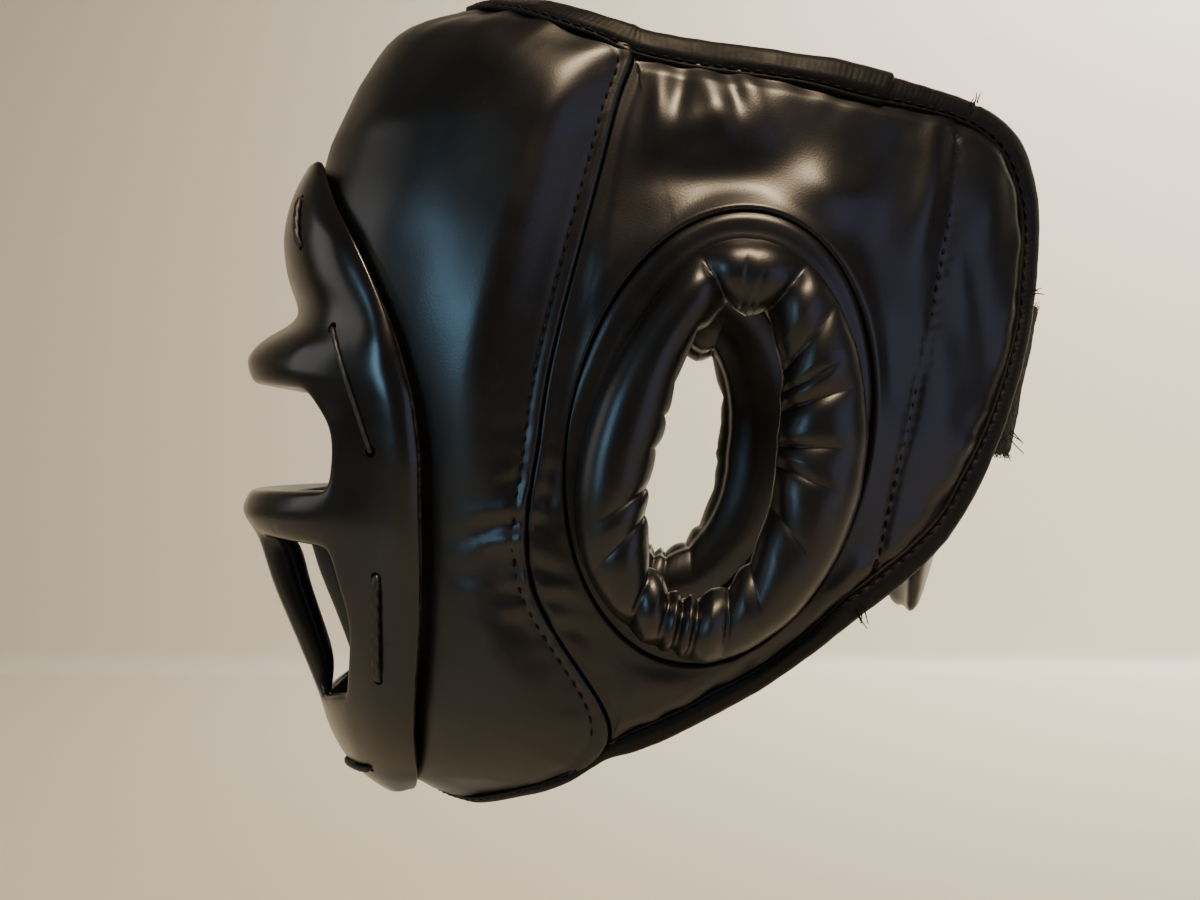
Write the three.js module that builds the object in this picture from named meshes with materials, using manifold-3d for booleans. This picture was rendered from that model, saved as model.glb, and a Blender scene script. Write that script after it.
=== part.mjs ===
// Padded head guard with a moulded face cage, as it is worn. Millimetres, +Z up.
// The wearer faces -Y, the wearer's left is +X, and the origin is midway between the ear openings.

import * as THREE from "three";
import { mergeVertices } from "three/addons/utils/BufferGeometryUtils.js";
import Module from "manifold-3d";

const wasm = await Module();
wasm.setup();

// Clearance between pieces that touch or are sewn together.
const GAP = 0.4;

// Front pad: foam under vinyl, sewn as one ring round the face.
// Its outer skin follows level sections, each half of a squared ellipse, listed from the chin up.
const PAD_CENTRE_Y = -20;
const PAD_SQUARENESS = 2.5;
const PAD_THICKNESS = 25;
const PAD_FORM = [
  { z: -119, front: -78, half_width: 45 },
  { z: -113, front: -95, half_width: 59 },
  { z: -99, front: -107, half_width: 74 },
  { z: -78, front: -111, half_width: 85 },
  { z: -45, front: -109, half_width: 92 },
  { z: -10, front: -112, half_width: 95 },
  { z: 25, front: -120, half_width: 94.5 },
  { z: 61, front: -127, half_width: 92 },
  { z: 92, front: -121, half_width: 87 },
  { z: 110, front: -113, half_width: 81 },
  { z: 122, front: -106, half_width: 75 },
  { z: 131, front: -98, half_width: 65 },
  { z: 140, front: -86, half_width: 49 },
  { z: 148, front: -69, half_width: 28 },
];

// Spokes of the ring, from the crown down to the chin on one side. Angles are round the level section.
// sewn is 1 where the spoke ends at the seam with the ear panel and 0 where its edge is bound.
const PAD_SPOKES = [
  { edge_angle: 0, edge_z: 44, rim_angle: 0, rim_z: 146, sewn: 0 },
  { edge_angle: 13, edge_z: 43, rim_angle: 32, rim_z: 143, sewn: 0 },
  { edge_angle: 25, edge_z: 37, rim_angle: 66, rim_z: 132, sewn: 0.1 },
  { edge_angle: 32, edge_z: 26, rim_angle: 89, rim_z: 113, sewn: 1 },
  { edge_angle: 35, edge_z: 10, rim_angle: 84, rim_z: 56, sewn: 1 },
  { edge_angle: 36, edge_z: -10, rim_angle: 77, rim_z: 4, sewn: 1 },
  { edge_angle: 35, edge_z: -30, rim_angle: 74, rim_z: -38, sewn: 1 },
  { edge_angle: 31, edge_z: -48, rim_angle: 86, rim_z: -86, sewn: 1 },
  { edge_angle: 21, edge_z: -58, rim_angle: 58, rim_z: -111, sewn: 0 },
  { edge_angle: 10, edge_z: -62, rim_angle: 27, rim_z: -115, sewn: 0 },
  { edge_angle: 0, edge_z: -63, rim_angle: 0, rim_z: -114, sewn: 0 },
];
const PAD_CROWN_SPOKE = 3;
const PAD_JAW_SPOKE = 7;
const PAD_STEPS = 80;
const PAD_EDGE_ROLL = 13;
const PAD_RIM_DIP = 5;
const PAD_RIM_FALL = 24;
const PAD_BORDER = 10;

// Ear panels: thin padding under vinyl. The outer face is a lateral reach, curved in to the back,
// to the crown and to the jaw.
const PANEL_REACH = 88;
const PANEL_BACK_START = 8;
const PANEL_BACK_CURVE = 0.0037;
const PANEL_CROWN_CURVE = 0.0011;
const PANEL_JAW_CURVE = 0.0014;
const PANEL_THICKNESS = 9;
const RIM_THICKNESS = 5;
const SEAM_LIP = 1;

// Bound edge of an ear panel, from the jaw end of the seam round the back to the crown end.
const PANEL_EDGE = [
  { y: -17, z: -83 },
  { y: 11, z: -67 },
  { y: 38, z: -47 },
  { y: 60, z: -31 },
  { y: 75, z: -11 },
  { y: 88.5, z: 18.5 },
  { y: 96, z: 48 },
  { y: 98, z: 70 },
  { y: 94, z: 86 },
  { y: 82, z: 95.5 },
  { y: 50.5, z: 101 },
  { y: 24, z: 105.5 },
  { y: -4.5, z: 110 },
];
const PANEL_EDGE_STEPS = 40;

// Ear opening and the stuffed roll round it. The oval leans back at its top.
const EAR_LEAN = 11;
const ROLL_HALF_LENGTH = 50;
const ROLL_HALF_WIDTH = 28.5;
const ROLL_HOLE = 12.8;
const ROLL_ROOT = 12;
const ROLL_RISE = 14;
const ROLL_FLANGE = 17;
const ROLL_FLANGE_THICKNESS = 2.5;
const ROLL_SHELF = -2.5;
const ROLL_STEPS = 40;

// Section of the roll at the top, the back, the foot and the front of the oval: its reach away from
// the opening and into it, from the oval's middle line.
const ROLL_SECTIONS = [
  { outward: 4, inward: 13 },
  { outward: 11, inward: 13 },
  { outward: 9.5, inward: 8 },
  { outward: 11, inward: 12.5 },
];

// Folded tape over the bound edges.
const TAPE_LEG = 7;
const TAPE_WALL = 1.2;
const TAPE_GAP = 0.7;

// Face cage: ribs from the crown edge down to the chin edge. y and z are on the mid plane,
// rim_y and rim_z are at the side rim, and opening is the share of the rib that the openings take.
const CAGE_THICKNESS = 3.2;
const CAGE_FULLNESS = 1.1;
const CAGE_RIM_GAP = 1.4;
const CAGE_BAR_DEPTH = 11;
const CAGE_BAR_FROM = 0.245;
const CAGE_BAR_TO = 0.325;
const CAGE_RIBS = [
  { y: -126, z: 92, rim_y: -115, rim_z: 80, opening: 0.62 },
  { y: -132, z: 81, rim_y: -109, rim_z: 69, opening: 0.62 },
  { y: -136, z: 66, rim_y: -102, rim_z: 57, opening: 0.62 },
  { y: -134, z: 50.5, rim_y: -96, rim_z: 45, opening: 0.62 },
  { y: -130.5, z: 40, rim_y: -91, rim_z: 34, opening: 0.62 },
  { y: -142, z: 34, rim_y: -88, rim_z: 26, opening: 0.61 },
  { y: -149, z: 27, rim_y: -86, rim_z: 19, opening: 0.61 },
  { y: -146, z: 18, rim_y: -84, rim_z: 12, opening: 0.62 },
  { y: -145, z: 7, rim_y: -83, rim_z: 4, opening: 0.69 },
  { y: -145, z: -4, rim_y: -82, rim_z: -5, opening: 0.695 },
  { y: -147, z: -14, rim_y: -82, rim_z: -14, opening: 0.685 },
  { y: -151, z: -21.5, rim_y: -82, rim_z: -23, opening: 0.67 },
  { y: -146, z: -29, rim_y: -82, rim_z: -32, opening: 0.68 },
  { y: -141, z: -45, rim_y: -82.5, rim_z: -43, opening: 0.7 },
  { y: -133.5, z: -62, rim_y: -83, rim_z: -54, opening: 0.695 },
  { y: -125, z: -82, rim_y: -84.5, rim_z: -70, opening: 0.6 },
  { y: -122.5, z: -90, rim_y: -86, rim_z: -84, opening: 0.57 },
  { y: -116, z: -102, rim_y: -89, rim_z: -99, opening: 0.57 },
  { y: -103, z: -113, rim_y: -91, rim_z: -109, opening: 0.57 },
];
const EYE_SLOT_RIBS = [7, 10];
const MOUTH_RIBS = [12, 15];
const CAGE_ROWS_PER_RIB = 1;

// Lace stitches, each between two holes in the cage given as a share of the rib and a place among ribs.
const LACE_RADIUS = 1.3;
const LACE_HOLE_RADIUS = 2.6;
const LACE_TAIL = 6;
const LACES = [
  { name: "forehead", from_share: 0.6, from_rib: 1.1, to_share: 0.6, to_rib: 2.2 },
  { name: "temple", from_share: 0.7, from_rib: 4.4, to_share: 0.84, to_rib: 8.8 },
  { name: "cheek", from_share: 0.845, from_rib: 12.6, to_share: 0.8, to_rib: 14.8 },
  { name: "chin", from_share: 0.66, from_rib: 16.9, to_share: 0.36, to_rib: 16.9 },
];

// Closure strap across the back. It starts inside the left panel, crosses behind the head through the plan
// points, and ends outside the right panel. Its lower edge leans forward.
const STRAP_WIDTH = 45;
const STRAP_THICKNESS = 2.4;
const STRAP_MID_Z = 19;
const STRAP_LEAN = 0.2;
const STRAP_ON_LEFT = [58, 71, 83];
const STRAP_ON_RIGHT = [87, 74, 60];
const STRAP_STEPS = 24;
const STRAP_BEHIND = [
  { x: 41, y: 95 },
  { x: 22, y: 102.5 },
  { x: 0, y: 104.8 },
  { x: -24, y: 104 },
  { x: -46.5, y: 100.8 },
];

// Neck pad: a padded tongue, as level sections from its foot up. y is its outer face on the mid plane.
const NECK_CURVE = 0.009;
const NECK_PAD = [
  { z: -58, y: 73, half_width: 12, thickness: 5 },
  { z: -54, y: 76.5, half_width: 19, thickness: 10 },
  { z: -42, y: 80, half_width: 25, thickness: 13 },
  { z: -22, y: 86, half_width: 28, thickness: 13 },
  { z: -6, y: 94.5, half_width: 28, thickness: 12 },
  { z: 10, y: 101, half_width: 28, thickness: 11 },
  { z: 34, y: 106, half_width: 27, thickness: 8 },
  { z: 38, y: 106.8, half_width: 26, thickness: 5 },
];

const SIDES = [
  { name: "left", sign: 1 },
  { name: "right", sign: -1 },
];

const MATERIALS = {
  vinyl: { color: 0x1b1b1e, roughness: 0.45, metalness: 0 },
  tape: { color: 0x201f20, roughness: 0.6, metalness: 0 },
  plastic: { color: 0x141414, roughness: 0.3, metalness: 0 },
  cord: { color: 0x1a1816, roughness: 0.75, metalness: 0 },
  webbing: { color: 0x121214, roughness: 0.95, metalness: 0 },
};

// A number held between 0 and 1.
function unit(value) {
  return Math.min(Math.max(value, 0), 1);
}

// A smooth step from 0 to 1.
function ease(value) {
  const s = unit(value);
  return s * s * (3 - 2 * s);
}

// Fall of a quarter round, 1 at its start and 0 from one radius on.
function roundOver(value) {
  const s = 1 - unit(value);
  return 1 - Math.sqrt(1 - s * s);
}

// Power of a signed number that keeps the sign.
function signedPower(value, power) {
  return Math.sign(value) * Math.abs(value) ** power;
}

// Cubic piece through b and c, with slopes taken from the rows on either side.
function cubic(a, b, c, d, s) {
  const p = (c - a) / 2;
  const q = (d - b) / 2;
  return b + p * s + (3 * (c - b) - 2 * p - q) * s * s + (2 * (b - c) + p + q) * s * s * s;
}

// Row of a table at a fractional place, smooth from row to row.
function rowAt(table, place, closed) {
  const count = table.length;
  const at = (i) => (closed ? table[(i + count) % count] : table[Math.min(Math.max(i, 0), count - 1)]);
  const k = closed ? Math.floor(place) : Math.min(Math.max(Math.floor(place), 0), count - 2);
  const row = {};
  for (const name of Object.keys(table[0])) {
    row[name] = cubic(at(k - 1)[name], at(k)[name], at(k + 1)[name], at(k + 2)[name], place - k);
  }
  return row;
}

// Row of a table at a height, for tables listed by rising z.
function rowAtHeight(table, z) {
  let k = 0;
  while (k < table.length - 2 && table[k + 1].z < z) {
    k += 1;
  }
  const share = unit((z - table[k].z) / (table[k + 1].z - table[k].z));
  return rowAt(table, k + share, false);
}

// Point of the pad's outer form.
function padForm(angle, z) {
  const row = rowAtHeight(PAD_FORM, z);
  const turn = THREE.MathUtils.degToRad(angle);
  const power = 2 / PAD_SQUARENESS;
  const x = row.half_width * signedPower(Math.sin(turn), power);
  const y = PAD_CENTRE_Y + (row.front - PAD_CENTRE_Y) * signedPower(Math.cos(turn), power);
  return new THREE.Vector3(x, y, z);
}

// Lateral place of the pad's outer form at a given y and z.
function padFormX(y, z) {
  const row = rowAtHeight(PAD_FORM, z);
  const depth = unit((y - PAD_CENTRE_Y) / (row.front - PAD_CENTRE_Y));
  return row.half_width * (1 - depth ** PAD_SQUARENESS) ** (1 / PAD_SQUARENESS);
}

// Outward direction of the pad's outer form.
function padNormal(angle, z) {
  const round = padForm(angle + 2, z).sub(padForm(angle - 2, z));
  const up = padForm(angle, z + 1.5).sub(padForm(angle, z - 1.5));
  return round.cross(up).normalize();
}

// Outer face of an ear panel, as a lateral reach.
function panelReach(y, z) {
  const back = Math.max(y - PANEL_BACK_START, 0);
  const crown = Math.max(z, 0);
  const jaw = Math.min(z, 0);
  const curve = PANEL_BACK_CURVE * back ** 2 + PANEL_CROWN_CURVE * crown ** 2 + PANEL_JAW_CURVE * jaw ** 2;
  return PANEL_REACH - curve;
}

function panelPoint(y, z) {
  return new THREE.Vector3(panelReach(y, z), y, z);
}

function panelNormal(y, z) {
  const dy = panelReach(y + 1, z) - panelReach(y - 1, z);
  const dz = panelReach(y, z + 1) - panelReach(y, z - 1);
  return new THREE.Vector3(1, -dy / 2, -dz / 2).normalize();
}

// Closed geometry from points and triangles, with its faces turned outwards.
function closedGeometry(points, triangles) {
  let volume = 0;
  for (const [a, b, c] of triangles) {
    volume += points[a].dot(points[b].clone().cross(points[c]));
  }
  const order = volume < 0 ? triangles.map(([a, b, c]) => [a, c, b]) : triangles;
  const geometry = new THREE.BufferGeometry();
  geometry.setAttribute("position", new THREE.Float32BufferAttribute(points.flatMap((p) => p.toArray()), 3));
  geometry.setIndex(order.flat());
  return geometry;
}

// Two triangles of a four-sided face, split along its shorter diagonal.
function splitFace(points, a, b, c, d) {
  const first = points[a].distanceTo(points[c]);
  const second = points[b].distanceTo(points[d]);
  const even = Math.abs(first - second) < 1e-4;
  if (even || first < second) {
    return [[a, b, c], [a, c, d]];
  }
  return [[a, b, d], [b, c, d]];
}

// Closed wall between an outer and an inner grid of points. keep says which cells of the grid are there,
// and closed joins the last row to the first.
function wallBetween(outer, inner, closed, keep = () => true) {
  const rows = outer.length;
  const columns = outer[0].length;
  const rowCells = closed ? rows : rows - 1;
  const points = [...outer.flat(), ...inner.flat()];
  const place = (i, j, layer) => layer * rows * columns + (i % rows) * columns + j;
  const there = (i, j) => {
    const row = closed ? (i + rows) % rows : i;
    return row >= 0 && row < rowCells && j >= 0 && j < columns - 1 && keep(row, j);
  };
  const triangles = [];
  const quad = (a, b, c, d) => triangles.push(...splitFace(points, a, b, c, d));
  for (let i = 0; i < rowCells; i += 1) {
    for (let j = 0; j < columns - 1; j += 1) {
      if (!there(i, j)) {
        continue;
      }
      const o = [place(i, j, 0), place(i + 1, j, 0), place(i + 1, j + 1, 0), place(i, j + 1, 0)];
      const n = [place(i, j, 1), place(i + 1, j, 1), place(i + 1, j + 1, 1), place(i, j + 1, 1)];
      quad(o[0], o[1], o[2], o[3]);
      quad(n[3], n[2], n[1], n[0]);
      if (!there(i, j - 1)) {
        quad(o[1], o[0], n[0], n[1]);
      }
      if (!there(i + 1, j)) {
        quad(o[2], o[1], n[1], n[2]);
      }
      if (!there(i, j + 1)) {
        quad(o[3], o[2], n[2], n[3]);
      }
      if (!there(i - 1, j)) {
        quad(o[0], o[3], n[3], n[0]);
      }
    }
  }
  const used = [...new Set(triangles.flat())].sort((a, b) => a - b);
  const renumber = new Map(used.map((old, fresh) => [old, fresh]));
  const kept = used.map((old) => points[old]);
  return closedGeometry(kept, triangles.map((corners) => corners.map((old) => renumber.get(old))));
}

// Closed bar from a list of sections, each a loop of points. closed joins the last section to the first.
// capFaces lists the triangles of an end section.
function barThrough(sections, closed, capFaces = []) {
  const count = sections.length;
  const around = sections[0].length;
  const points = sections.flat();
  const triangles = [];
  for (let i = 0; i < (closed ? count : count - 1); i += 1) {
    for (let j = 0; j < around; j += 1) {
      const a = i * around + j;
      const b = i * around + ((j + 1) % around);
      const c = ((i + 1) % count) * around + ((j + 1) % around);
      const d = ((i + 1) % count) * around + j;
      triangles.push(...splitFace(points, a, b, c, d));
    }
  }
  if (!closed) {
    const last = (count - 1) * around;
    for (const [a, b, c] of capFaces) {
      triangles.push([a, c, b], [last + a, last + b, last + c]);
    }
  }
  return closedGeometry(points, triangles);
}

// Geometry mirrored to the other side of the mid plane when sign is -1.
function onSide(geometry, sign) {
  if (sign > 0) {
    return geometry;
  }
  const position = geometry.attributes.position;
  const points = [];
  for (let i = 0; i < position.count; i += 1) {
    points.push(new THREE.Vector3(-position.getX(i), position.getY(i), position.getZ(i)));
  }
  const index = geometry.index.array;
  const triangles = [];
  for (let i = 0; i < index.length; i += 3) {
    triangles.push([index[i], index[i + 1], index[i + 2]]);
  }
  return closedGeometry(points, triangles);
}

function toSolid(geometry) {
  const bare = geometry.clone();
  bare.deleteAttribute("normal");
  bare.deleteAttribute("uv");
  const merged = mergeVertices(bare, 1e-4);
  return new wasm.Manifold(
    new wasm.Mesh({
      numProp: 3,
      vertProperties: new Float32Array(merged.attributes.position.array),
      triVerts: new Uint32Array(merged.index.array),
    }),
  );
}

function fromSolid(solid) {
  const mesh = solid.getMesh();
  const geometry = new THREE.BufferGeometry();
  geometry.setAttribute("position", new THREE.Float32BufferAttribute(mesh.vertProperties, 3));
  geometry.setIndex(new THREE.Uint32BufferAttribute(mesh.triVerts, 1));
  return geometry;
}

// Front pad as an outer and an inner grid: one row for each spoke, from the face edge to the rim.
function frontPadGrids() {
  const half = PAD_SPOKES.length - 1;
  const mirrored = PAD_SPOKES.slice(1, half).reverse().map((row) => ({
    ...row,
    edge_angle: -row.edge_angle,
    rim_angle: -row.rim_angle,
  }));
  const ring = [...PAD_SPOKES, ...mirrored];
  const grids = { outer: [], inner: [], sewn: [] };
  for (let i = 0; i < PAD_STEPS; i += 1) {
    const spoke = rowAt(ring, (i / PAD_STEPS) * ring.length, true);
    const sewn = unit(spoke.sewn);
    const at = (share) => [
      THREE.MathUtils.lerp(spoke.edge_angle, spoke.rim_angle, share),
      THREE.MathUtils.lerp(spoke.edge_z, spoke.rim_z, share),
    ];
    let length = 0;
    for (let k = 0; k < 12; k += 1) {
      length += padForm(...at(k / 12)).distanceTo(padForm(...at((k + 1) / 12)));
    }
    const rim = padForm(...at(1));
    const proud = Math.abs(rim.x) - panelReach(rim.y, rim.z) - SEAM_LIP;
    const dip = THREE.MathUtils.lerp(PAD_RIM_DIP, Math.max(proud, 0), sewn);
    const rimThickness = THREE.MathUtils.lerp(RIM_THICKNESS, PANEL_THICKNESS, sewn);
    const stations = [0, 3, 8, PAD_EDGE_ROLL].map((d) => d / length);
    const ending = [PAD_RIM_FALL + 6, PAD_RIM_FALL - 7, PAD_BORDER, 0].map((d) => 1 - d / length);
    stations.push((stations[3] + ending[0]) / 2, ...ending);
    const outerRow = [];
    const innerRow = [];
    for (const share of stations) {
      const fromEdge = share * length;
      const fromRim = (1 - share) * length;
      const roll = roundOver(fromEdge / PAD_EDGE_ROLL);
      const full = ease((fromRim - PAD_BORDER) / PAD_RIM_FALL);
      const depth = 0.45 * PAD_THICKNESS * roll + dip * ease(1 - fromRim / PAD_RIM_FALL);
      const thick = THREE.MathUtils.lerp(rimThickness, PAD_THICKNESS, full) * (1 - 0.6 * roll);
      const point = padForm(...at(share));
      const inward = padNormal(...at(share)).negate();
      const across = panelNormal(point.y, point.z).negate();
      across.x *= Math.sign(point.x) || 1;
      inward.lerp(across, sewn * ease(1 - fromRim / PAD_RIM_FALL)).normalize();
      outerRow.push(point.clone().addScaledVector(inward, depth));
      innerRow.push(point.clone().addScaledVector(inward, depth + thick));
    }
    grids.outer.push(outerRow);
    grids.inner.push(innerRow);
    grids.sewn.push(sewn);
  }
  return grids;
}

// Polar size of the ear oval, grown by an offset, at an angle round the ear centre.
function earOval(angle, offset) {
  const long = ROLL_HALF_LENGTH + offset;
  const wide = ROLL_HALF_WIDTH + offset;
  const turn = angle - THREE.MathUtils.degToRad(90 - EAR_LEAN);
  const size = (long * wide) / Math.hypot(wide * Math.cos(turn), long * Math.sin(turn));
  return new THREE.Vector2(size * Math.cos(angle), size * Math.sin(angle));
}

// Ear panel as an outer and an inner grid: one row for each point of its outline, from the ear hole out.
function earPanelGrids(pad) {
  const half = PAD_STEPS / 2;
  const seam = [];
  for (let i = 0; i <= half; i += 1) {
    if (pad.sewn[i] > 0.97) {
      const rim = pad.outer[i].at(-1);
      const before = pad.outer[i].at(-2);
      const out = new THREE.Vector2(rim.y - before.y, rim.z - before.z).normalize();
      seam.push(new THREE.Vector2(rim.y, rim.z).addScaledVector(out, 2 * GAP));
    }
  }
  const stops = [seam.at(-1), ...PANEL_EDGE.map((row) => new THREE.Vector2(row.y, row.z)), seam[0]];
  const edge = new THREE.SplineCurve(stops).getSpacedPoints(PANEL_EDGE_STEPS).slice(1, -1);
  const outline = [...seam.map((p) => ({ p, bound: 0 })), ...edge.map((p) => ({ p, bound: 1 }))];
  const grids = { outer: [], inner: [], bound: [] };
  for (const { p, bound } of outline) {
    const hole = earOval(Math.atan2(p.y, p.x), ROLL_HOLE);
    const length = hole.distanceTo(p);
    const border = Math.min(PAD_BORDER, 0.4 * length);
    const flat = Math.min(2 * PAD_BORDER, 0.7 * length);
    const rimThickness = bound ? RIM_THICKNESS : PANEL_THICKNESS;
    const shares = [0, (1 - flat / length) / 2, 1 - flat / length, 1 - border / length, 1];
    const outerRow = [];
    const innerRow = [];
    shares.forEach((share, k) => {
      const q = hole.clone().lerp(p, share);
      const thick = k < 3 ? PANEL_THICKNESS : rimThickness;
      const sunk = (PANEL_THICKNESS - thick) / 2;
      const inward = panelNormal(q.x, q.y).negate();
      const point = panelPoint(q.x, q.y);
      outerRow.push(point.clone().addScaledVector(inward, sunk));
      innerRow.push(point.clone().addScaledVector(inward, sunk + thick));
    });
    grids.outer.push(outerRow);
    grids.inner.push(innerRow);
    grids.bound.push(bound);
  }
  return grids;
}

// Stuffed roll with a flat flange behind the panel, swept round the ear oval.
function earRoll() {
  const flangeTop = -PANEL_THICKNESS - GAP;
  const flangeBack = flangeTop - ROLL_FLANGE_THICKNESS;
  const sections = [];
  for (let i = 0; i < ROLL_STEPS; i += 1) {
    const fromTop = i / ROLL_STEPS;
    const angle = THREE.MathUtils.degToRad(90 - EAR_LEAN) - fromTop * 2 * Math.PI;
    const { outward, inward } = rowAt(ROLL_SECTIONS, fromTop * ROLL_SECTIONS.length, true);
    const profile = [
      [ROLL_FLANGE, flangeBack],
      [ROLL_FLANGE, flangeTop],
      [ROLL_ROOT, flangeTop],
      [ROLL_ROOT, ROLL_SHELF],
    ];
    for (let k = 0; k <= 7; k += 1) {
      const turn = (k / 7) * Math.PI;
      const offset = THREE.MathUtils.lerp(-inward, outward, (1 + Math.cos(turn)) / 2);
      profile.push([offset, ROLL_SHELF + (ROLL_RISE - ROLL_SHELF) * Math.sin(turn) ** 0.7 + 0.5]);
    }
    profile.push([1.5 - inward, flangeBack]);
    const loop = profile.map(([offset, height]) => {
      const q = earOval(angle, offset);
      return panelPoint(q.x, q.y).addScaledVector(panelNormal(q.x, q.y), height);
    });
    sections.push(loop);
  }
  return barThrough(sections, true);
}

// Folded tape along an edge: two legs on the border's faces, joined round the rim.
function tapeAlong(stations) {
  const sections = stations.map(({ outerRim, innerRim, outerBorder, innerBorder }) => {
    const across = outerRim.clone().sub(innerRim).normalize();
    const out = outerRim.clone().add(innerRim).sub(outerBorder).sub(innerBorder);
    out.addScaledVector(across, -out.dot(across)).multiplyScalar(0.5);
    const share = Math.min(TAPE_LEG / out.length(), 0.8);
    out.normalize();
    const outerEnd = outerRim.clone().lerp(outerBorder, share);
    const innerEnd = innerRim.clone().lerp(innerBorder, share);
    const acrossEnd = outerEnd.clone().sub(innerEnd).normalize();
    const at = (base, along, direction, over) =>
      base.clone().addScaledVector(out, along).addScaledVector(direction, over);
    const wall = TAPE_GAP + TAPE_WALL;
    const round = wall - 1.6;
    return [
      at(outerEnd, 0, acrossEnd, wall),
      at(outerRim, TAPE_GAP, across, wall),
      at(outerRim, wall, across, round),
      at(innerRim, wall, across, -round),
      at(innerRim, TAPE_GAP, across, -wall),
      at(innerEnd, 0, acrossEnd, -wall),
      at(innerEnd, 0, acrossEnd, -TAPE_GAP),
      at(innerRim, TAPE_GAP, across, -TAPE_GAP),
      at(outerRim, TAPE_GAP, across, TAPE_GAP),
      at(outerEnd, 0, acrossEnd, TAPE_GAP),
    ];
  });
  const caps = [
    [0, 1, 8],
    [0, 8, 9],
    [1, 2, 8],
    [2, 3, 8],
    [3, 7, 8],
    [3, 4, 7],
    [4, 5, 7],
    [5, 6, 7],
  ];
  return barThrough(sections, false, caps);
}

// Edge stations of a grid row by row, for the tape.
function edgeStations(grids, rows) {
  return rows.map((i) => ({
    outerRim: grids.outer[i].at(-1),
    innerRim: grids.inner[i].at(-1),
    outerBorder: grids.outer[i].at(-2),
    innerBorder: grids.inner[i].at(-2),
  }));
}

// Point on the cage's outer face, at a share of a rib and a fractional place among the ribs.
function cagePoint(share, place) {
  const rib = rowAt(CAGE_RIBS, place, false);
  const rimX = padFormX(rib.rim_y, rib.rim_z) + CAGE_THICKNESS + CAGE_RIM_GAP;
  const turn = share * (Math.PI / 2);
  const x = rimX * Math.sin(turn);
  const y = rib.rim_y + (rib.y - rib.rim_y) * Math.abs(Math.cos(turn)) ** CAGE_FULLNESS;
  const z = rib.z + (rib.rim_z - rib.z) * Math.sin(turn) ** 2;
  return new THREE.Vector3(x, y, z);
}

function cageNormal(share, place) {
  const a = Math.min(share + 0.02, 0.995);
  const top = Math.max(place - 0.1, 0);
  const low = Math.min(place + 0.1, CAGE_RIBS.length - 1);
  const along = cagePoint(a, place).sub(cagePoint(share - 0.02, place));
  const up = cagePoint(share, top).sub(cagePoint(share, low));
  return along.cross(up).normalize();
}

// Shares of a rib at which the cage's columns of cells meet, with the bar and the openings' ends among them.
function cageShares(place) {
  const end = rowAt(CAGE_RIBS, place, false).opening;
  const between = (CAGE_BAR_TO + end) / 2;
  const past = [0.3, 0.65, 1].map((s) => end + (1 - end) * s);
  return [0, CAGE_BAR_FROM / 2, CAGE_BAR_FROM, CAGE_BAR_TO, between, end, ...past];
}

// Path of a lace stitch: up through one hole, along the outer face, and down through the other.
function lacePath(lace, lift) {
  const holes = [
    [lace.from_share, lace.from_rib],
    [lace.to_share, lace.to_rib],
  ];
  const tails = holes.map(([share, place]) => {
    const inward = cageNormal(share, place).negate();
    let reach = CAGE_THICKNESS + 0.5;
    while (reach < CAGE_THICKNESS + LACE_TAIL) {
      const probe = cagePoint(share, place).addScaledVector(inward, reach + 0.5 + 2 * LACE_RADIUS);
      if (probe.x < padFormX(probe.y, probe.z)) {
        break;
      }
      reach += 0.25;
    }
    return cagePoint(share, place).addScaledVector(inward, reach);
  });
  const middle = [0, 0.12, 0.35, 0.65, 0.88, 1].map((s) => {
    const share = THREE.MathUtils.lerp(lace.from_share, lace.to_share, s);
    const place = THREE.MathUtils.lerp(lace.from_rib, lace.to_rib, s);
    const height = s === 0 || s === 1 ? 0 : lift;
    return cagePoint(share, place).addScaledVector(cageNormal(share, place), height);
  });
  return new THREE.CatmullRomCurve3([tails[0], ...middle, tails[1]], false, "centripetal");
}

function laceTube(lace, radius) {
  const ring = new THREE.Shape(new THREE.EllipseCurve(0, 0, radius, radius).getPoints(8).slice(0, -1));
  const path = lacePath(lace, LACE_RADIUS + GAP + 0.5);
  const tube = new THREE.ExtrudeGeometry(ring, { steps: 14, extrudePath: path });
  tube.deleteAttribute("normal");
  tube.deleteAttribute("uv");
  return mergeVertices(tube, 1e-3);
}

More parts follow.
